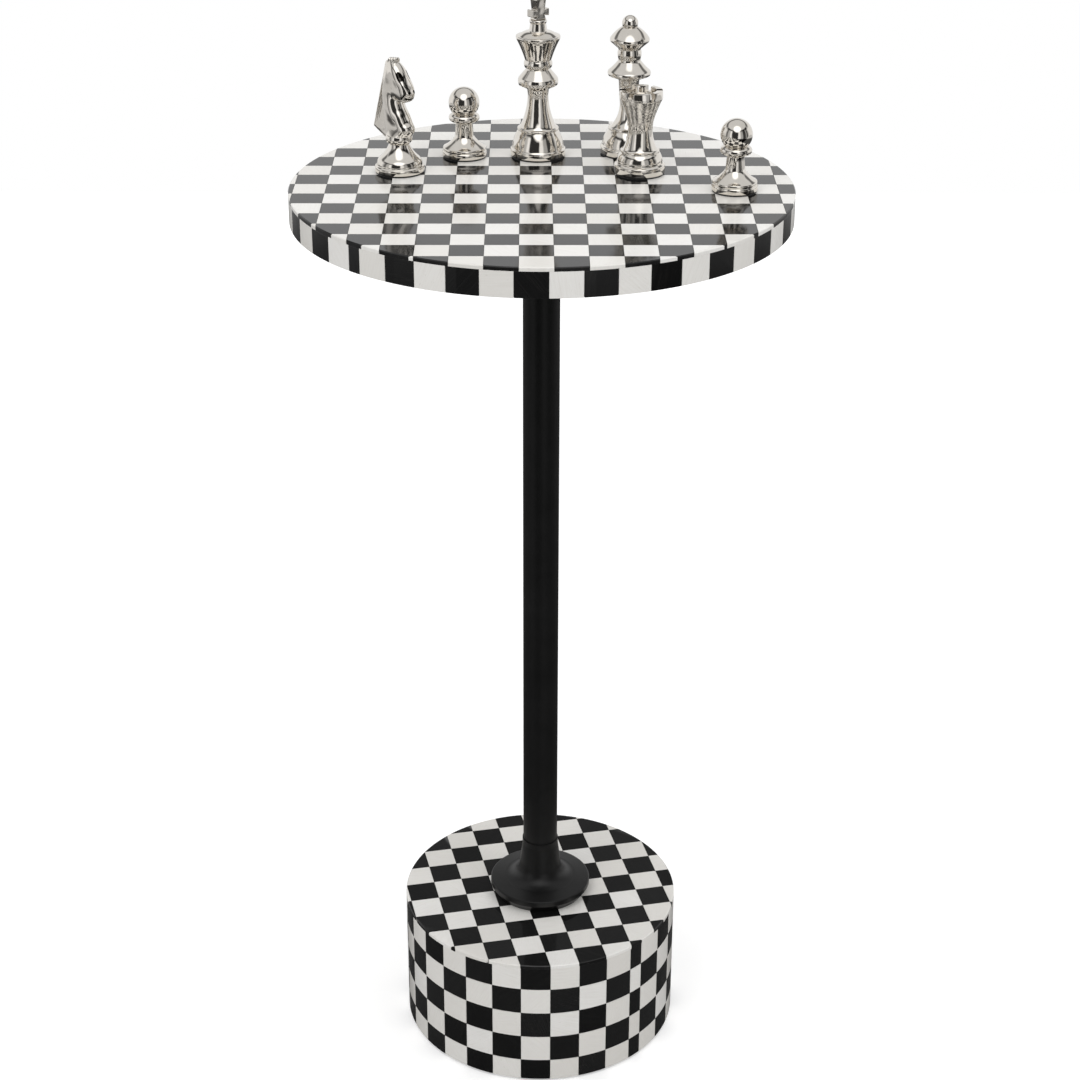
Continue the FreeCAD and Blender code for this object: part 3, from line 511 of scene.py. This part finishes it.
def white_tile_finish():
    material, tree, shader = new_finish("white_tile")
    grain_map = add_node(tree, "ShaderNodeUVMap", uv_map="tile_grain").outputs["UV"]
    tone = add_node(tree, "ShaderNodeAttribute", attribute_name="tile_tone").outputs["Fac"]
    line_map = stretched(tree, grain_map, along=60.0, across=1500.0)
    lines = noise(tree, line_map, scale=1.0, detail=4.0, roughness=0.6)
    clouds = noise(tree, grain_map, scale=140.0, detail=2.0, roughness=0.5)
    pore_map = stretched(tree, grain_map, along=420.0, across=2600.0)
    pores = noise(tree, pore_map, scale=1.0, detail=1.0, roughness=0.4)
    tile_color = color_ramp(tree, tone, WHITE_TONES)
    line_mask = color_ramp(tree, lines, [(0.42, 0.0), (0.75, 0.34)])
    pore_mask = color_ramp(tree, pores, [(0.70, 0.0), (0.80, 0.5)])
    cloud_mask = color_ramp(tree, clouds, [(0.4, 0.0), (0.8, 0.22)])
    grained = mix_colors(tree, line_mask, tile_color, WHITE_LINE)
    clouded = mix_colors(tree, cloud_mask, grained, WHITE_CLOUD)
    pored = mix_colors(tree, pore_mask, clouded, WHITE_PORE)
    tree.links.new(pored, shader.inputs["Base Color"])
    rough, height = polish(tree, object_coordinates(tree), base=0.16, spread=0.10, wave_scale=90.0)
    tree.links.new(rough, shader.inputs["Roughness"])
    tree.links.new(bump(tree, height, **WAVE_BUMP), shader.inputs["Normal"])
    return material


def black_tile_finish():
    material, tree, shader = new_finish("black_tile")
    tone = add_node(tree, "ShaderNodeAttribute", attribute_name="tile_tone").outputs["Fac"]
    grain_map = add_node(tree, "ShaderNodeUVMap", uv_map="tile_grain").outputs["UV"]
    line_map = stretched(tree, grain_map, along=50.0, across=900.0)
    lines = noise(tree, line_map, scale=1.0, detail=3.0, roughness=0.6)
    shade = color_ramp(tree, tone, BLACK_TONES)
    line_mask = color_ramp(tree, lines, [(0.5, 0.0), (0.8, 0.35)])
    streaked = mix_colors(tree, line_mask, shade, BLACK_LINE)
    tree.links.new(streaked, shader.inputs["Base Color"])
    set_inputs(shader, Specular_IOR_Level=BLACK_SPECULAR)
    rough, height = polish(tree, object_coordinates(tree), base=0.075, spread=0.06, wave_scale=80.0)
    tree.links.new(rough, shader.inputs["Roughness"])
    tree.links.new(bump(tree, height, **WAVE_BUMP), shader.inputs["Normal"])
    return material


TILE_FINISH = {"white": white_tile_finish(), "black": black_tile_finish()}
for node, piece in tile_pieces.items():
    piece.data.materials.append(TILE_FINISH[node.rsplit("_", 1)[1]])
print("tile finishes:", [finish.name for finish in TILE_FINISH.values()])


# %% [markdown]
# ## Metal, felt and board
# The column and its collar are satin black powder coat. The figures are cast, polished and
# nickel plated: mirror-like, a touch warm, and a little wavy. Parts of the queen and the rook
# keep the grain of the mould, and shade is painted dark into the knight's hollows. What sits
# out of sight, such as the screws and the rod, is zinc plated.

# %% Powder coat, nickel, zinc, felt, board and raw iron
COAT_TONES = [(0.3, 0.004), (0.8, 0.008)]
COAT_SPECULAR = 0.35
NICKEL_TONES = [(0.3, (0.77, 0.73, 0.665)), (0.7, (0.85, 0.81, 0.755))]
# Dark colour painted into the knight's hollows as shade
PAINTED_HOLLOW_SHADE = (0.08, 0.074, 0.066)
CAST_ROUGHNESS = 0.08
CAST_GRAIN = 0.8
ZINC_TONES = [(0.3, (0.5, 0.51, 0.52)), (0.7, (0.66, 0.66, 0.65))]
FELT_TONES = [(0.3, 0.006), (0.75, 0.035)]
FELT_ROUGHNESS = 0.95
FELT_SHEEN = 0.3
BOARD_TONES = [(0.3, 0.012), (0.8, 0.030)]
IRON_TONES = [(0.3, (0.05, 0.048, 0.046)), (0.8, (0.12, 0.11, 0.10))]
IRON_ROUGHNESS = 0.8


def powder_coat_finish():
    material, tree, shader = new_finish("black_powder_coat")
    place = object_coordinates(tree)
    set_inputs(shader, Specular_IOR_Level=COAT_SPECULAR)
    peel = noise(tree, place, scale=1400.0, detail=2.0, roughness=0.5)
    patches = noise(tree, place, scale=60.0, detail=3.0, roughness=0.6)
    tree.links.new(color_ramp(tree, patches, COAT_TONES), shader.inputs["Base Color"])
    rough = polish(tree, place, base=0.38, spread=0.14, wave_scale=50.0)[0]
    tree.links.new(rough, shader.inputs["Roughness"])
    tree.links.new(bump(tree, peel, distance=0.06 * MM, strength=0.5), shader.inputs["Normal"])
    return material


def nickel_finish():
    """Mirror plating, grainy where left as cast, with shade painted dark into the knight's hollows."""
    material, tree, shader = new_finish("polished_nickel")
    set_inputs(shader, Metallic=1.0)
    place = object_coordinates(tree)
    stains = noise(tree, place, scale=120.0, detail=3.0, roughness=0.6)
    color = color_ramp(tree, stains, NICKEL_TONES)
    # Painted shade: points marked in the knight's hollows take the dark colour
    hollow_shade = add_node(tree, "ShaderNodeAttribute", attribute_name="hollow_shade").outputs["Fac"]
    tree.links.new(mix_colors(tree, hollow_shade, color, PAINTED_HOLLOW_SHADE), shader.inputs["Base Color"])
    as_cast = add_node(tree, "ShaderNodeAttribute", attribute_name="as_cast").outputs["Fac"]
    sand = noise(tree, place, scale=900.0, detail=2.0, roughness=0.6)
    rough, height = polish(tree, place, base=0.08, spread=0.07, wave_scale=170.0)
    matt = math_node(tree, "MULTIPLY", as_cast, CAST_ROUGHNESS)
    tree.links.new(math_node(tree, "ADD", rough, matt), shader.inputs["Roughness"])
    grain = math_node(tree, "MULTIPLY", sand, math_node(tree, "MULTIPLY", as_cast, CAST_GRAIN))
    relief = math_node(tree, "ADD", height, grain)
    tree.links.new(bump(tree, relief, distance=0.5 * MM, strength=0.35), shader.inputs["Normal"])
    return material


def zinc_finish():
    material, tree, shader = new_finish("zinc_plate")
    set_inputs(shader, Metallic=1.0)
    place = object_coordinates(tree)
    spangle = noise(tree, place, scale=500.0, detail=3.0, roughness=0.6)
    tree.links.new(color_ramp(tree, spangle, ZINC_TONES), shader.inputs["Base Color"])
    rough = polish(tree, place, base=0.36, spread=0.2, wave_scale=200.0)[0]
    tree.links.new(rough, shader.inputs["Roughness"])
    return material


def felt_finish():
    material, tree, shader = new_finish("black_felt")
    set_inputs(shader, Roughness=FELT_ROUGHNESS, Sheen_Weight=FELT_SHEEN)
    fibres = noise(tree, object_coordinates(tree), scale=2200.0, detail=4.0, roughness=0.7)
    tree.links.new(color_ramp(tree, fibres, FELT_TONES), shader.inputs["Base Color"])
    tree.links.new(bump(tree, fibres, distance=0.3 * MM, strength=0.8), shader.inputs["Normal"])
    return material


def board_finish():
    material, tree, shader = new_finish("painted_fibreboard")
    place = object_coordinates(tree)
    fibres = noise(tree, place, scale=800.0, detail=5.0, roughness=0.7)
    tree.links.new(color_ramp(tree, fibres, BOARD_TONES), shader.inputs["Base Color"])
    rough = polish(tree, place, base=0.62, spread=0.2, wave_scale=120.0)[0]
    tree.links.new(rough, shader.inputs["Roughness"])
    tree.links.new(bump(tree, fibres, distance=0.1 * MM, strength=0.4), shader.inputs["Normal"])
    return material


def iron_finish():
    material, tree, shader = new_finish("raw_casting")
    set_inputs(shader, Roughness=IRON_ROUGHNESS)
    sand = noise(tree, object_coordinates(tree), scale=700.0, detail=4.0, roughness=0.7)
    tree.links.new(color_ramp(tree, sand, IRON_TONES), shader.inputs["Base Color"])
    tree.links.new(bump(tree, sand, distance=0.3 * MM, strength=0.6), shader.inputs["Normal"])
    return material


FINISH = {
    "black_steel": powder_coat_finish(),
    "nickel": nickel_finish(),
    "zinc_steel": zinc_finish(),
    "felt": felt_finish(),
    "fibreboard": board_finish(),
    "ballast": iron_finish(),
}
for part in frame["record"]["subparts"]:
    finish = FINISH.get(part["material_slot"])
    if finish:
        mesh = frame["nodes"][part["node"]].data
        mesh.materials.clear()
        mesh.materials.append(finish)
print("finishes:", sorted(FINISH))


# %% [markdown]
# ## Chess figures: the turned parts
# The figures are castings whose round parts are turned on a lathe and then polished. A mirror
# finish shows every flat, so the round parts are turned again here: a half outline is drawn
# point by point and spun about its axis. Sharp corners get a small radius, as polishing
# leaves them.

# %% Half outline of a turned part
CORNER_ROUND = 0.45
CORNER_SHARE = 0.45
SHARP_CORNER = 20.0
SPIN_STEPS = 72
ARC_STEPS = 10
BALL_STEPS = 20


def arc_points(start, end, bulge):
    """Points on an arc that leaves its chord by the bulge, without its two ends."""
    chord = end - start
    along = chord.normalized()
    side = Vector((along.y, -along.x)) * math.copysign(1.0, bulge)
    depth = abs(bulge)
    radius = (chord.length_squared / 4 + depth ** 2) / (2 * depth)
    centre = (start + end) / 2 + side * (depth - radius)
    half = math.asin(chord.length / 2 / radius)
    angles = [half * (2 * step / ARC_STEPS - 1) for step in range(1, ARC_STEPS)]
    return [centre + radius * (side * math.cos(a) + along * math.sin(a)) for a in angles]


def half_outline(rows):
    """Points from the middle of the foot upwards. Each row is (radius, rise, bulge)."""
    points = [Vector((0.0, 0.0))]
    for radius, rise, bulge in rows:
        start = points[-1]
        end = Vector((radius, start.y + rise))
        if bulge:
            points += arc_points(start, end, bulge)
        points.append(end)
    return points


def ball_points(level, radius, sink):
    """The outline of a ball that sits into the neck below it."""
    low = -math.asin((radius - sink) / radius)
    angles = [low + (math.pi / 2 - low) * step / BALL_STEPS for step in range(BALL_STEPS)]
    middle = level + radius - sink
    curve = [Vector((radius * math.cos(a), middle + radius * math.sin(a))) for a in angles]
    return curve + [Vector((0.0, middle + radius))]


def softened(points):
    """The same outline with a small curve at each sharp corner."""
    soft = [points[0]]
    for before, here, after in zip(points, points[1:], points[2:]):
        come = here - before
        go = after - here
        if come.angle(go) < math.radians(SHARP_CORNER):
            soft.append(here)
            continue
        near = here - come.normalized() * min(CORNER_ROUND, come.length * CORNER_SHARE)
        far = here + go.normalized() * min(CORNER_ROUND, go.length * CORNER_SHARE)
        soft += [near, (near + here * 2 + far) / 4, far]
    return soft + [points[-1]]


print("corner radius:", CORNER_ROUND, "mm, steps:", SPIN_STEPS)

# %% Spin an outline about a figure's axis


def edit_all(piece):
    """Open a piece in edit mode with all of it selected."""
    bpy.ops.object.select_all(action="DESELECT")
    piece.select_set(True)
    bpy.context.view_layer.objects.active = piece
    bpy.ops.object.mode_set(mode="EDIT")
    bpy.context.tool_settings.mesh_select_mode = (True, False, False)
    bpy.ops.mesh.select_all(action="SELECT")


def spun(name, points, spot):
    """A turned piece standing at its spot."""
    bpy.ops.object.select_all(action="DESELECT")
    bpy.ops.mesh.primitive_plane_add(size=MM)
    piece = bpy.context.object
    piece.name = name
    edit_all(piece)
    bpy.ops.mesh.merge(type="CENTER")
    for here, after in zip(points, points[1:]):
        step = (after - here) * MM
        bpy.ops.mesh.extrude_vertices_move(TRANSFORM_OT_translate={"value": (step.x, 0.0, step.y)})
    bpy.ops.mesh.select_all(action="SELECT")
    bpy.ops.mesh.spin(steps=SPIN_STEPS, angle=math.tau, center=(0.0, 0.0, 0.0), axis=(0.0, 0.0, 1.0))
    bpy.ops.mesh.select_all(action="SELECT")
    bpy.ops.mesh.remove_doubles(threshold=MERGE_DISTANCE)
    bpy.ops.mesh.normals_make_consistent(inside=False)
    bpy.ops.transform.translate(value=spot)
    bpy.ops.object.mode_set(mode="OBJECT")
    return piece


def joined(pieces):
    """Several pieces made one, under the first one's name."""
    bpy.ops.object.select_all(action="DESELECT")
    for piece in pieces:
        piece.select_set(True)
    bpy.context.view_layer.objects.active = pieces[0]
    bpy.ops.object.join()
    return pieces[0]


def smooth_shaded(piece, angle):
    bpy.ops.object.select_all(action="DESELECT")
    piece.select_set(True)
    bpy.context.view_layer.objects.active = piece
    bpy.ops.object.shade_smooth_by_angle(angle=math.radians(angle))


def felt_top(name):
    """The middle of the upper face of a figure's felt disc."""
    points = [vertex.co for vertex in frame["nodes"][name + "_felt"].data.vertices]
    low = [min(point[axis] for point in points) for axis in range(3)]
    high = [max(point[axis] for point in points) for axis in range(3)]
    return Vector(((low[0] + high[0]) / 2, (low[1] + high[1]) / 2, high[2]))


PLACE = {name: felt_top(name) for name in frame["bodies"] if name != "table"}
figures = {}
print("figures:", {name: [round(value / MM, 1) for value in spot] for name, spot in PLACE.items()})

# %% Pawns and queen
# Outlines in mm as (radius, rise, bulge), balls as (radius, sink), bands as (from, to)
PAWN_ROWS = [
    (11.4, 0.0, 0.0), (11.4, 2.4, 0.0), (10.9, 0.6, 0.0), (10.9, 1.6, 0.25), (4.8, 5.6, -0.6),
    (4.3, 6.9, 0.0), (7.1, 1.0, 0.0), (7.1, 3.2, 0.8), (5.4, 1.0, 0.0),
]
PAWN_BALL = (7.9, 2.8)
QUEEN_ROWS = [
    (14.3, 0.0, 0.0), (14.3, 3.4, 0.0), (13.4, 0.6, 0.0), (10.0, 8.2, 0.7), (10.3, 0.0, 0.0),
    (10.3, 1.1, 0.0), (9.2, 0.0, 0.0), (4.7, 13.7, -1.6), (5.4, 11.0, 0.0), (10.7, 2.1, 0.0),
    (10.7, 2.2, 0.35), (5.8, 5.1, -0.2), (5.8, 1.4, 0.0), (5.8, 4.2, 0.35), (5.8, 0.8, 0.0),
    (10.1, 3.7, 0.0), (10.1, 1.3, 0.0), (4.0, 5.8, 0.5),
]
QUEEN_BALL = (4.1, 2.4)
QUEEN_AS_CAST = (28.0, 38.0)


def leave_as_cast(piece, low, high, spot):
    """Mark the band between two heights that was not polished."""
    mark = piece.data.attributes.new("as_cast", "FLOAT", "POINT")
    for vertex, cell in zip(piece.data.vertices, mark.data):
        height = (vertex.co.z - spot.z) / MM
        cell.value = 1.0 if low < height < high else 0.0


for name in ("pawn_left", "pawn_right"):
    rows = half_outline(PAWN_ROWS)
    outline = softened(rows + ball_points(rows[-1].y, *PAWN_BALL))
    figures[name] = spun(name + "_polished", outline, PLACE[name])
rows = half_outline(QUEEN_ROWS)
outline = softened(rows + ball_points(rows[-1].y, *QUEEN_BALL))
figures["queen"] = spun("queen_polished", outline, PLACE["queen"])
leave_as_cast(figures["queen"], *QUEEN_AS_CAST, PLACE["queen"])
print("turned:", {name: len(piece.data.polygons) for name, piece in figures.items()})

# %% [markdown]
# ## Chess figures: king and rook
# The king carries a cross with flared arms, cast with the figure. It starts as a small block,
# and each arm is a face drawn out and widened at its end. The rook's battlements are milled
# across its rim, so three long bars are taken away from the turned piece.

# %% King with its cross
KING_ROWS = [
    (14.2, 0.0, 0.0), (14.2, 3.4, 0.0), (13.5, 0.6, 0.0), (10.2, 9.2, 0.5), (10.6, 0.0, 0.0),
    (10.6, 1.1, 0.0), (9.5, 0.0, 0.0), (5.3, 16.7, -1.0), (5.6, 3.3, 0.0), (10.0, 2.2, 0.0),
    (10.0, 3.4, 0.3), (6.1, 4.6, 0.0), (6.1, 0.6, 0.0), (6.7, 0.0, 0.0), (6.7, 3.9, 0.6),
    (11.3, 11.0, -0.3), (11.3, 1.3, 0.0), (10.0, 0.0, 0.0), (4.6, 2.3, 0.5), (4.0, 4.0, 0.0),
    (4.0, 1.8, 0.5), (0.0, 0.0, 0.0),
]
CROSS_LEVEL = 3.4
CROSS_HEIGHT = 10.4
CROSS_REACH = 5.3
CROSS_DEPTH = 5.0
BAR_HALF = 2.6
BAR_END = 3.4
ARM_HALF = 1.4
ARM_END = 1.9
CROSS_TURN = 40.0
CROSS_ROUND = 0.5
CROSS_STEPS = 3
CROSS_SHARP = 20.0
FACING = 0.99
CROSS_ARMS = [
    ((1, 0, 0), CROSS_REACH - BAR_HALF),
    ((-1, 0, 0), CROSS_REACH - BAR_HALF),
    ((0, 0, 1), CROSS_HEIGHT - CROSS_LEVEL - ARM_HALF),
    ((0, 0, -1), CROSS_LEVEL - ARM_HALF),
]


def select_face(piece, direction):
    """Select the face that looks along a direction and lies farthest that way."""
    shaped = bmesh.from_edit_mesh(piece.data)
    bpy.ops.mesh.select_all(action="DESELECT")
    facing = [face for face in shaped.faces if face.normal.dot(direction) > FACING]
    farthest = max(facing, key=lambda face: face.calc_center_median().dot(direction))
    farthest.select_set(True)
    bmesh.update_edit_mesh(piece.data)
    return farthest.calc_center_median()


def flared_cross(name, level):
    bpy.ops.object.select_all(action="DESELECT")
    bpy.ops.mesh.primitive_cube_add(size=2 * MM)
    piece = bpy.context.object
    piece.name = name
    edit_all(piece)
    bpy.context.tool_settings.mesh_select_mode = (False, False, True)
    block = (BAR_HALF, CROSS_DEPTH / 2, ARM_HALF)
    bpy.ops.transform.resize(value=block, center_override=(0.0, 0.0, 0.0))
    for way, length in CROSS_ARMS:
        direction = Vector(way)
        end = select_face(piece, direction) + direction * length * MM
        bpy.ops.mesh.extrude_region_move(TRANSFORM_OT_translate={"value": direction * length * MM})
        widen = (BAR_END / BAR_HALF, 1.0, 1.0) if way[2] else (1.0, 1.0, ARM_END / ARM_HALF)
        bpy.ops.transform.resize(value=widen, center_override=end)
    bpy.ops.object.mode_set(mode="OBJECT")
    lift = Vector((0.0, 0.0, (level + CROSS_LEVEL) * MM))
    turn = Matrix.Rotation(math.radians(CROSS_TURN), 4, "Z")
    piece.data.transform(Matrix.Translation(PLACE["king"] + lift) @ turn)
    round_edges(piece, CROSS_ROUND * MM, CROSS_STEPS, CROSS_SHARP)
    return piece


rows = half_outline(KING_ROWS)
king = spun("king_polished", softened(rows), PLACE["king"])
figures["king"] = joined([king, flared_cross("king_cross", rows[-1].y)])
print("king:", len(figures["king"].data.polygons), "faces,", round(rows[-1].y + CROSS_HEIGHT, 1), "mm")

# %% Rook with its battlements
ROOK_ROWS = [
    (12.8, 0.0, 0.0), (12.8, 4.2, 0.0), (11.4, 0.6, 0.0), (9.6, 5.6, 0.7), (9.9, 0.0, 0.0),
    (9.9, 1.1, 0.0), (8.9, 0.0, 0.0), (6.2, 11.0, -0.8), (6.4, 3.0, 0.0), (10.6, 11.5, -0.3),
    (10.9, 0.6, 0.0), (10.9, 4.0, 0.0), (7.6, 0.0, 0.0), (7.6, -3.4, 0.0), (0.0, 0.0, 0.0),
]
ROOK_AS_CAST = (25.0, 38.0)
SLOT_WIDTH = 3.0
SLOT_DEPTH = 2.6
SLOT_LENGTH = 26.0
SLOT_BARS = 3


def slot_bars(level):
    """Bars across the rim, one for each pair of gaps."""
    bars = []
    spot = PLACE["rook"] + Vector((0.0, 0.0, level * MM))
    for number in range(SLOT_BARS):
        bpy.ops.object.select_all(action="DESELECT")
        bpy.ops.mesh.primitive_cube_add(size=MM)
        bar = bpy.context.object
        scale = Matrix.Diagonal((SLOT_LENGTH, SLOT_WIDTH, 2 * SLOT_DEPTH, 1.0))
        turn = Matrix.Rotation(math.radians(180.0 / SLOT_BARS * number), 4, "Z")
        bar.data.transform(Matrix.Translation(spot) @ turn @ scale)
        bars.append(bar)
    return bars


def taken_away(piece, tools):
    """Take the tools' shapes out of a piece."""
    for tool in tools:
        cutter = piece.modifiers.new("taken_away", "BOOLEAN")
        cutter.operation = "DIFFERENCE"
        cutter.solver = "EXACT"
        cutter.object = tool
        bpy.ops.object.select_all(action="DESELECT")
        piece.select_set(True)
        bpy.context.view_layer.objects.active = piece
        bpy.ops.object.modifier_apply(modifier=cutter.name)
        bpy.data.objects.remove(tool)


rows = half_outline(ROOK_ROWS)
rook_top = max(point.y for point in rows)
rook = spun("rook_polished", softened(rows), PLACE["rook"])
taken_away(rook, slot_bars(rook_top))
leave_as_cast(rook, *ROOK_AS_CAST, PLACE["rook"])
figures["rook"] = rook
print("rook:", len(rook.data.polygons), "faces")

# %% [markdown]
# ## Chess figures: knight
# Only the knight's foot is turned. Its horse is modelled by hand, cast and filed smooth. The
# plain solid is filled out at the neck, head, muzzle and chest, skinned with small even faces
# and smoothed until it is round. The mane keeps its edge, because it takes little part in the
# smoothing. Cheeks, lips and forelock are then laid on, and eyes, nostrils, mouth and the mane's
# furrows are cut in.

# %% Knight's foot
KNIGHT_ROWS = [
    (12.5, 0.0, 0.0), (12.5, 2.6, 0.0), (11.4, 0.6, 0.0), (9.6, 4.0, 0.6), (5.0, 6.8, -0.5),
    (6.3, 0.9, 0.0), (6.3, 3.6, 0.5), (0.0, 0.0, 0.0),
]
rows = half_outline(KNIGHT_ROWS)
foot = spun("knight_polished", softened(rows), PLACE["knight"])
# From the horse's own axes (forward, left, up from the ring) to the table's
HORSE_TURN = 320.0
ring_middle = PLACE["knight"] + Vector((0.0, 0.0, rows[-1].y * MM))
horse = Matrix.Translation(ring_middle) @ Matrix.Rotation(math.radians(HORSE_TURN), 4, "Z")
print("knight's ring:", round(rows[-1].y, 1), "mm up")

# %% Tools for the horse
LUMP_SEGMENTS = 24
LUMP_RINGS = 12


def pebble_axes(place, radii, lean):
    """From a ball of radius 1 to a lump on the horse, turned forward by its lean in degrees."""
    size = Matrix.Diagonal((*(radius * MM for radius in radii), 1.0))
    tilt = Matrix.Rotation(math.radians(lean), 4, "Y")
    return horse @ Matrix.Translation(Vector(place) * MM) @ tilt @ size


def pebble(place, radii, lean):
    """A smooth lump on the horse."""
    bpy.ops.object.select_all(action="DESELECT")
    bpy.ops.mesh.primitive_uv_sphere_add(segments=LUMP_SEGMENTS, ring_count=LUMP_RINGS, radius=1.0)
    lump = bpy.context.object
    lump.data.transform(pebble_axes(place, radii, lean))
    return lump


def both_sides(place, radii, lean):
    """The same lump on the horse's right and left, as (place, radii, lean)."""
    forward, aside, up = place
    return [((forward, side * aside, up), radii, lean) for side in (-1, 1)]


def applied(piece, kind, **settings):
    """Give a piece a modifier and apply it."""
    modifier = piece.modifiers.new(kind.lower(), kind)
    for name, value in settings.items():
        setattr(modifier, name, value)
    bpy.ops.object.select_all(action="DESELECT")
    piece.select_set(True)
    bpy.context.view_layer.objects.active = piece
    bpy.ops.object.modifier_apply(modifier=modifier.name)


print("lumps of", LUMP_SEGMENTS, "by", LUMP_RINGS, "faces")

# %% Round neck, head and chest
# Lumps are (place, radii, lean), with places as (forward, aside, up) from the ring in mm
HEAD_LEAN = -33.0
FILLING = [
    ((-1.4, 0.0, 12.0), (5.0, 5.7, 14.0), -15.0),  # neck
    ((2.0, 0.0, 29.2), (3.9, 5.0, 9.6), HEAD_LEAN),  # head
    ((7.2, 0.0, 21.6), (3.2, 3.6, 3.6), HEAD_LEAN),  # muzzle
    ((3.0, 0.0, 8.0), (3.4, 5.4, 10.0), -27.0),  # breast, down from the throat
    ((5.4, 0.0, 3.4), (4.4, 5.2, 3.6), 0.0),  # tip of the chest
]
SKIN = 0.35
SMOOTHING = 0.5
FLESH_PASSES = 200
MANE_WEIGHT = 0.12
MANE_HALF = 2.1
CREST_FOOT = -5.0
CREST_RISE = -3.0
CREST_MIDDLE = 17.8


def is_mane(point):
    """Whether a point of the horse lies on the thin mane behind the crest."""
    forward, aside, up = point / MM
    crest = CREST_FOOT + CREST_RISE * (1.0 - ((up - CREST_MIDDLE) / CREST_MIDDLE) ** 2)
    return abs(aside) < MANE_HALF and forward < crest


filling = [pebble(*lump) for lump in FILLING]
body = joined([work_copy("knight", "knight_horse")] + filling)
applied(body, "REMESH", mode="VOXEL", voxel_size=SKIN * MM)
own_axes = horse.inverted()
flesh = body.vertex_groups.new(name="flesh")
mane = [vertex.index for vertex in body.data.vertices if is_mane(own_axes @ vertex.co)]
flesh.add([vertex.index for vertex in body.data.vertices], 1.0, "REPLACE")
flesh.add(mane, MANE_WEIGHT, "REPLACE")
applied(body, "SMOOTH", factor=SMOOTHING, iterations=FLESH_PASSES, vertex_group="flesh")
print("horse:", len(body.data.vertices), "points,", len(mane), "of them on the mane")

# %% Cheeks, lips and forelock
FINE_SKIN = 0.26
FINE_PASSES = 16
CHEEK = ((0.4, 2.0, 25.6), (3.4, 2.4, 4.4), HEAD_LEAN)
LIP = ((7.9, 1.4, 22.2), (1.8, 1.5, 2.2), HEAD_LEAN)
TUFTS = 4
TUFT_FORWARD = -5.0
TUFT_PITCH = 1.6
TUFT_LEVEL = 35.9
TUFT_RISE = 0.2
TUFT_RADII = (0.75, 2.1, 2.5)
TUFT_LEAN = 20.0
lumps = both_sides(*CHEEK) + both_sides(*LIP)
for tuft in range(TUFTS):
    place = (TUFT_FORWARD + TUFT_PITCH * tuft, 0.0, TUFT_LEVEL + TUFT_RISE * tuft)
    lumps.append((place, TUFT_RADII, TUFT_LEAN))
body = joined([body] + [pebble(*lump) for lump in lumps])
applied(body, "REMESH", mode="VOXEL", voxel_size=FINE_SKIN * MM)
applied(body, "SMOOTH", factor=SMOOTHING, iterations=FINE_PASSES)
print("horse with its lumps:", len(body.data.vertices), "points")

# %% Eyes, nostrils, mouth and the mane's furrows
EYE = ((3.9, 2.7, 29.8), (1.6, 1.5, 2.8), HEAD_LEAN)
NOSTRIL = ((9.0, 1.6, 22.4), (1.5, 0.8, 0.85), HEAD_LEAN)
MOUTH = ((8.8, 0.0, 19.3), (2.6, 5.0, 0.45), 18.0)
FURROWS = 3
FURROW_FORWARD = -8.2
FURROW_PITCH = 1.6
FURROW_ASIDE = 1.7
FURROW_LEVEL = 20.0
FURROW_DROP = 1.8
FURROW_RADII = (0.6, 0.8, 15.0)
MANE_LEAN = 15.5
hollows = both_sides(*EYE) + both_sides(*NOSTRIL) + [MOUTH]
furrows = []
for lock in range(FURROWS):
    place = (FURROW_FORWARD - FURROW_PITCH * lock, FURROW_ASIDE, FURROW_LEVEL - FURROW_DROP * lock)
    furrows += both_sides(place, FURROW_RADII, MANE_LEAN)
taken_away(body, [pebble(*hollow) for hollow in hollows + furrows])
print("horse's hollows:", len(hollows), "and furrows:", len(furrows))

# %% Cut that seats the horse in its ring, with the mane hanging down behind it
# The block's size, the seat's depth in the ring, and how far the mane's foot reaches, in mm
BELOW = 40.0
SEAT = 0.15
MANE_ROOT = 5.5
MANE_FOOT = 3.9
MANE_SIDE = 1.55


def block_below(forward, aside, depth):
    """A block with its upper face at a depth under the ring's top."""
    bpy.ops.object.select_all(action="DESELECT")
    bpy.ops.mesh.primitive_cube_add(size=BELOW * MM)
    block = bpy.context.object
    middle = Vector((forward, aside, -BELOW / 2 - depth))
    block.data.transform(horse @ Matrix.Translation(middle * MM))
    return block


beside_mane = BELOW / 2 + MANE_SIDE
taken_away(body, [
    block_below(BELOW / 2 - MANE_ROOT, 0.0, SEAT),
    block_below(0.0, 0.0, MANE_FOOT),
    block_below(0.0, beside_mane, 2 * SEAT),
    block_below(0.0, -beside_mane, 2 * SEAT),
])
edit_all(body)
bpy.ops.mesh.dissolve_degenerate(threshold=MERGE_DISTANCE)
bpy.ops.object.mode_set(mode="OBJECT")
figures["knight"] = joined([foot, body])
print("knight:", len(figures["knight"].data.polygons), "faces")

# %% Shade painted into the horse's hollows
# How far round each hollow the painted shade reaches, in the hollow's own size
HOLLOW_SHADE_REACH = 1.04


def paint_hollow_shade(piece, spots):
    """Mark the points that lie in one of the hollows, where a dark colour is painted in as shade."""
    inside = [pebble_axes(*spot).inverted() for spot in spots]
    mark = piece.data.attributes.new("hollow_shade", "FLOAT", "POINT")
    count = 0
    for vertex, cell in zip(piece.data.vertices, mark.data):
        dark = any((axes @ vertex.co).length < HOLLOW_SHADE_REACH for axes in inside)
        cell.value = 1.0 if dark else 0.0
        count += dark
    return count


print("points with residue:", paint_hollow_shade(figures["knight"], hollows))

# %% Put the figures in their places
FIGURE_SHARP = 38.0
for name, piece in figures.items():
    smooth_shaded(piece, FIGURE_SHARP)
    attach(piece, name)
    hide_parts(name)
    piece.data.materials.clear()
    piece.data.materials.append(FINISH["nickel"])
    low = min(vertex.co.z for vertex in piece.data.vertices) / MM
    high = max(vertex.co.z for vertex in piece.data.vertices) / MM
    print(name, "from", round(low, 2), "to", round(high, 2), "mm")
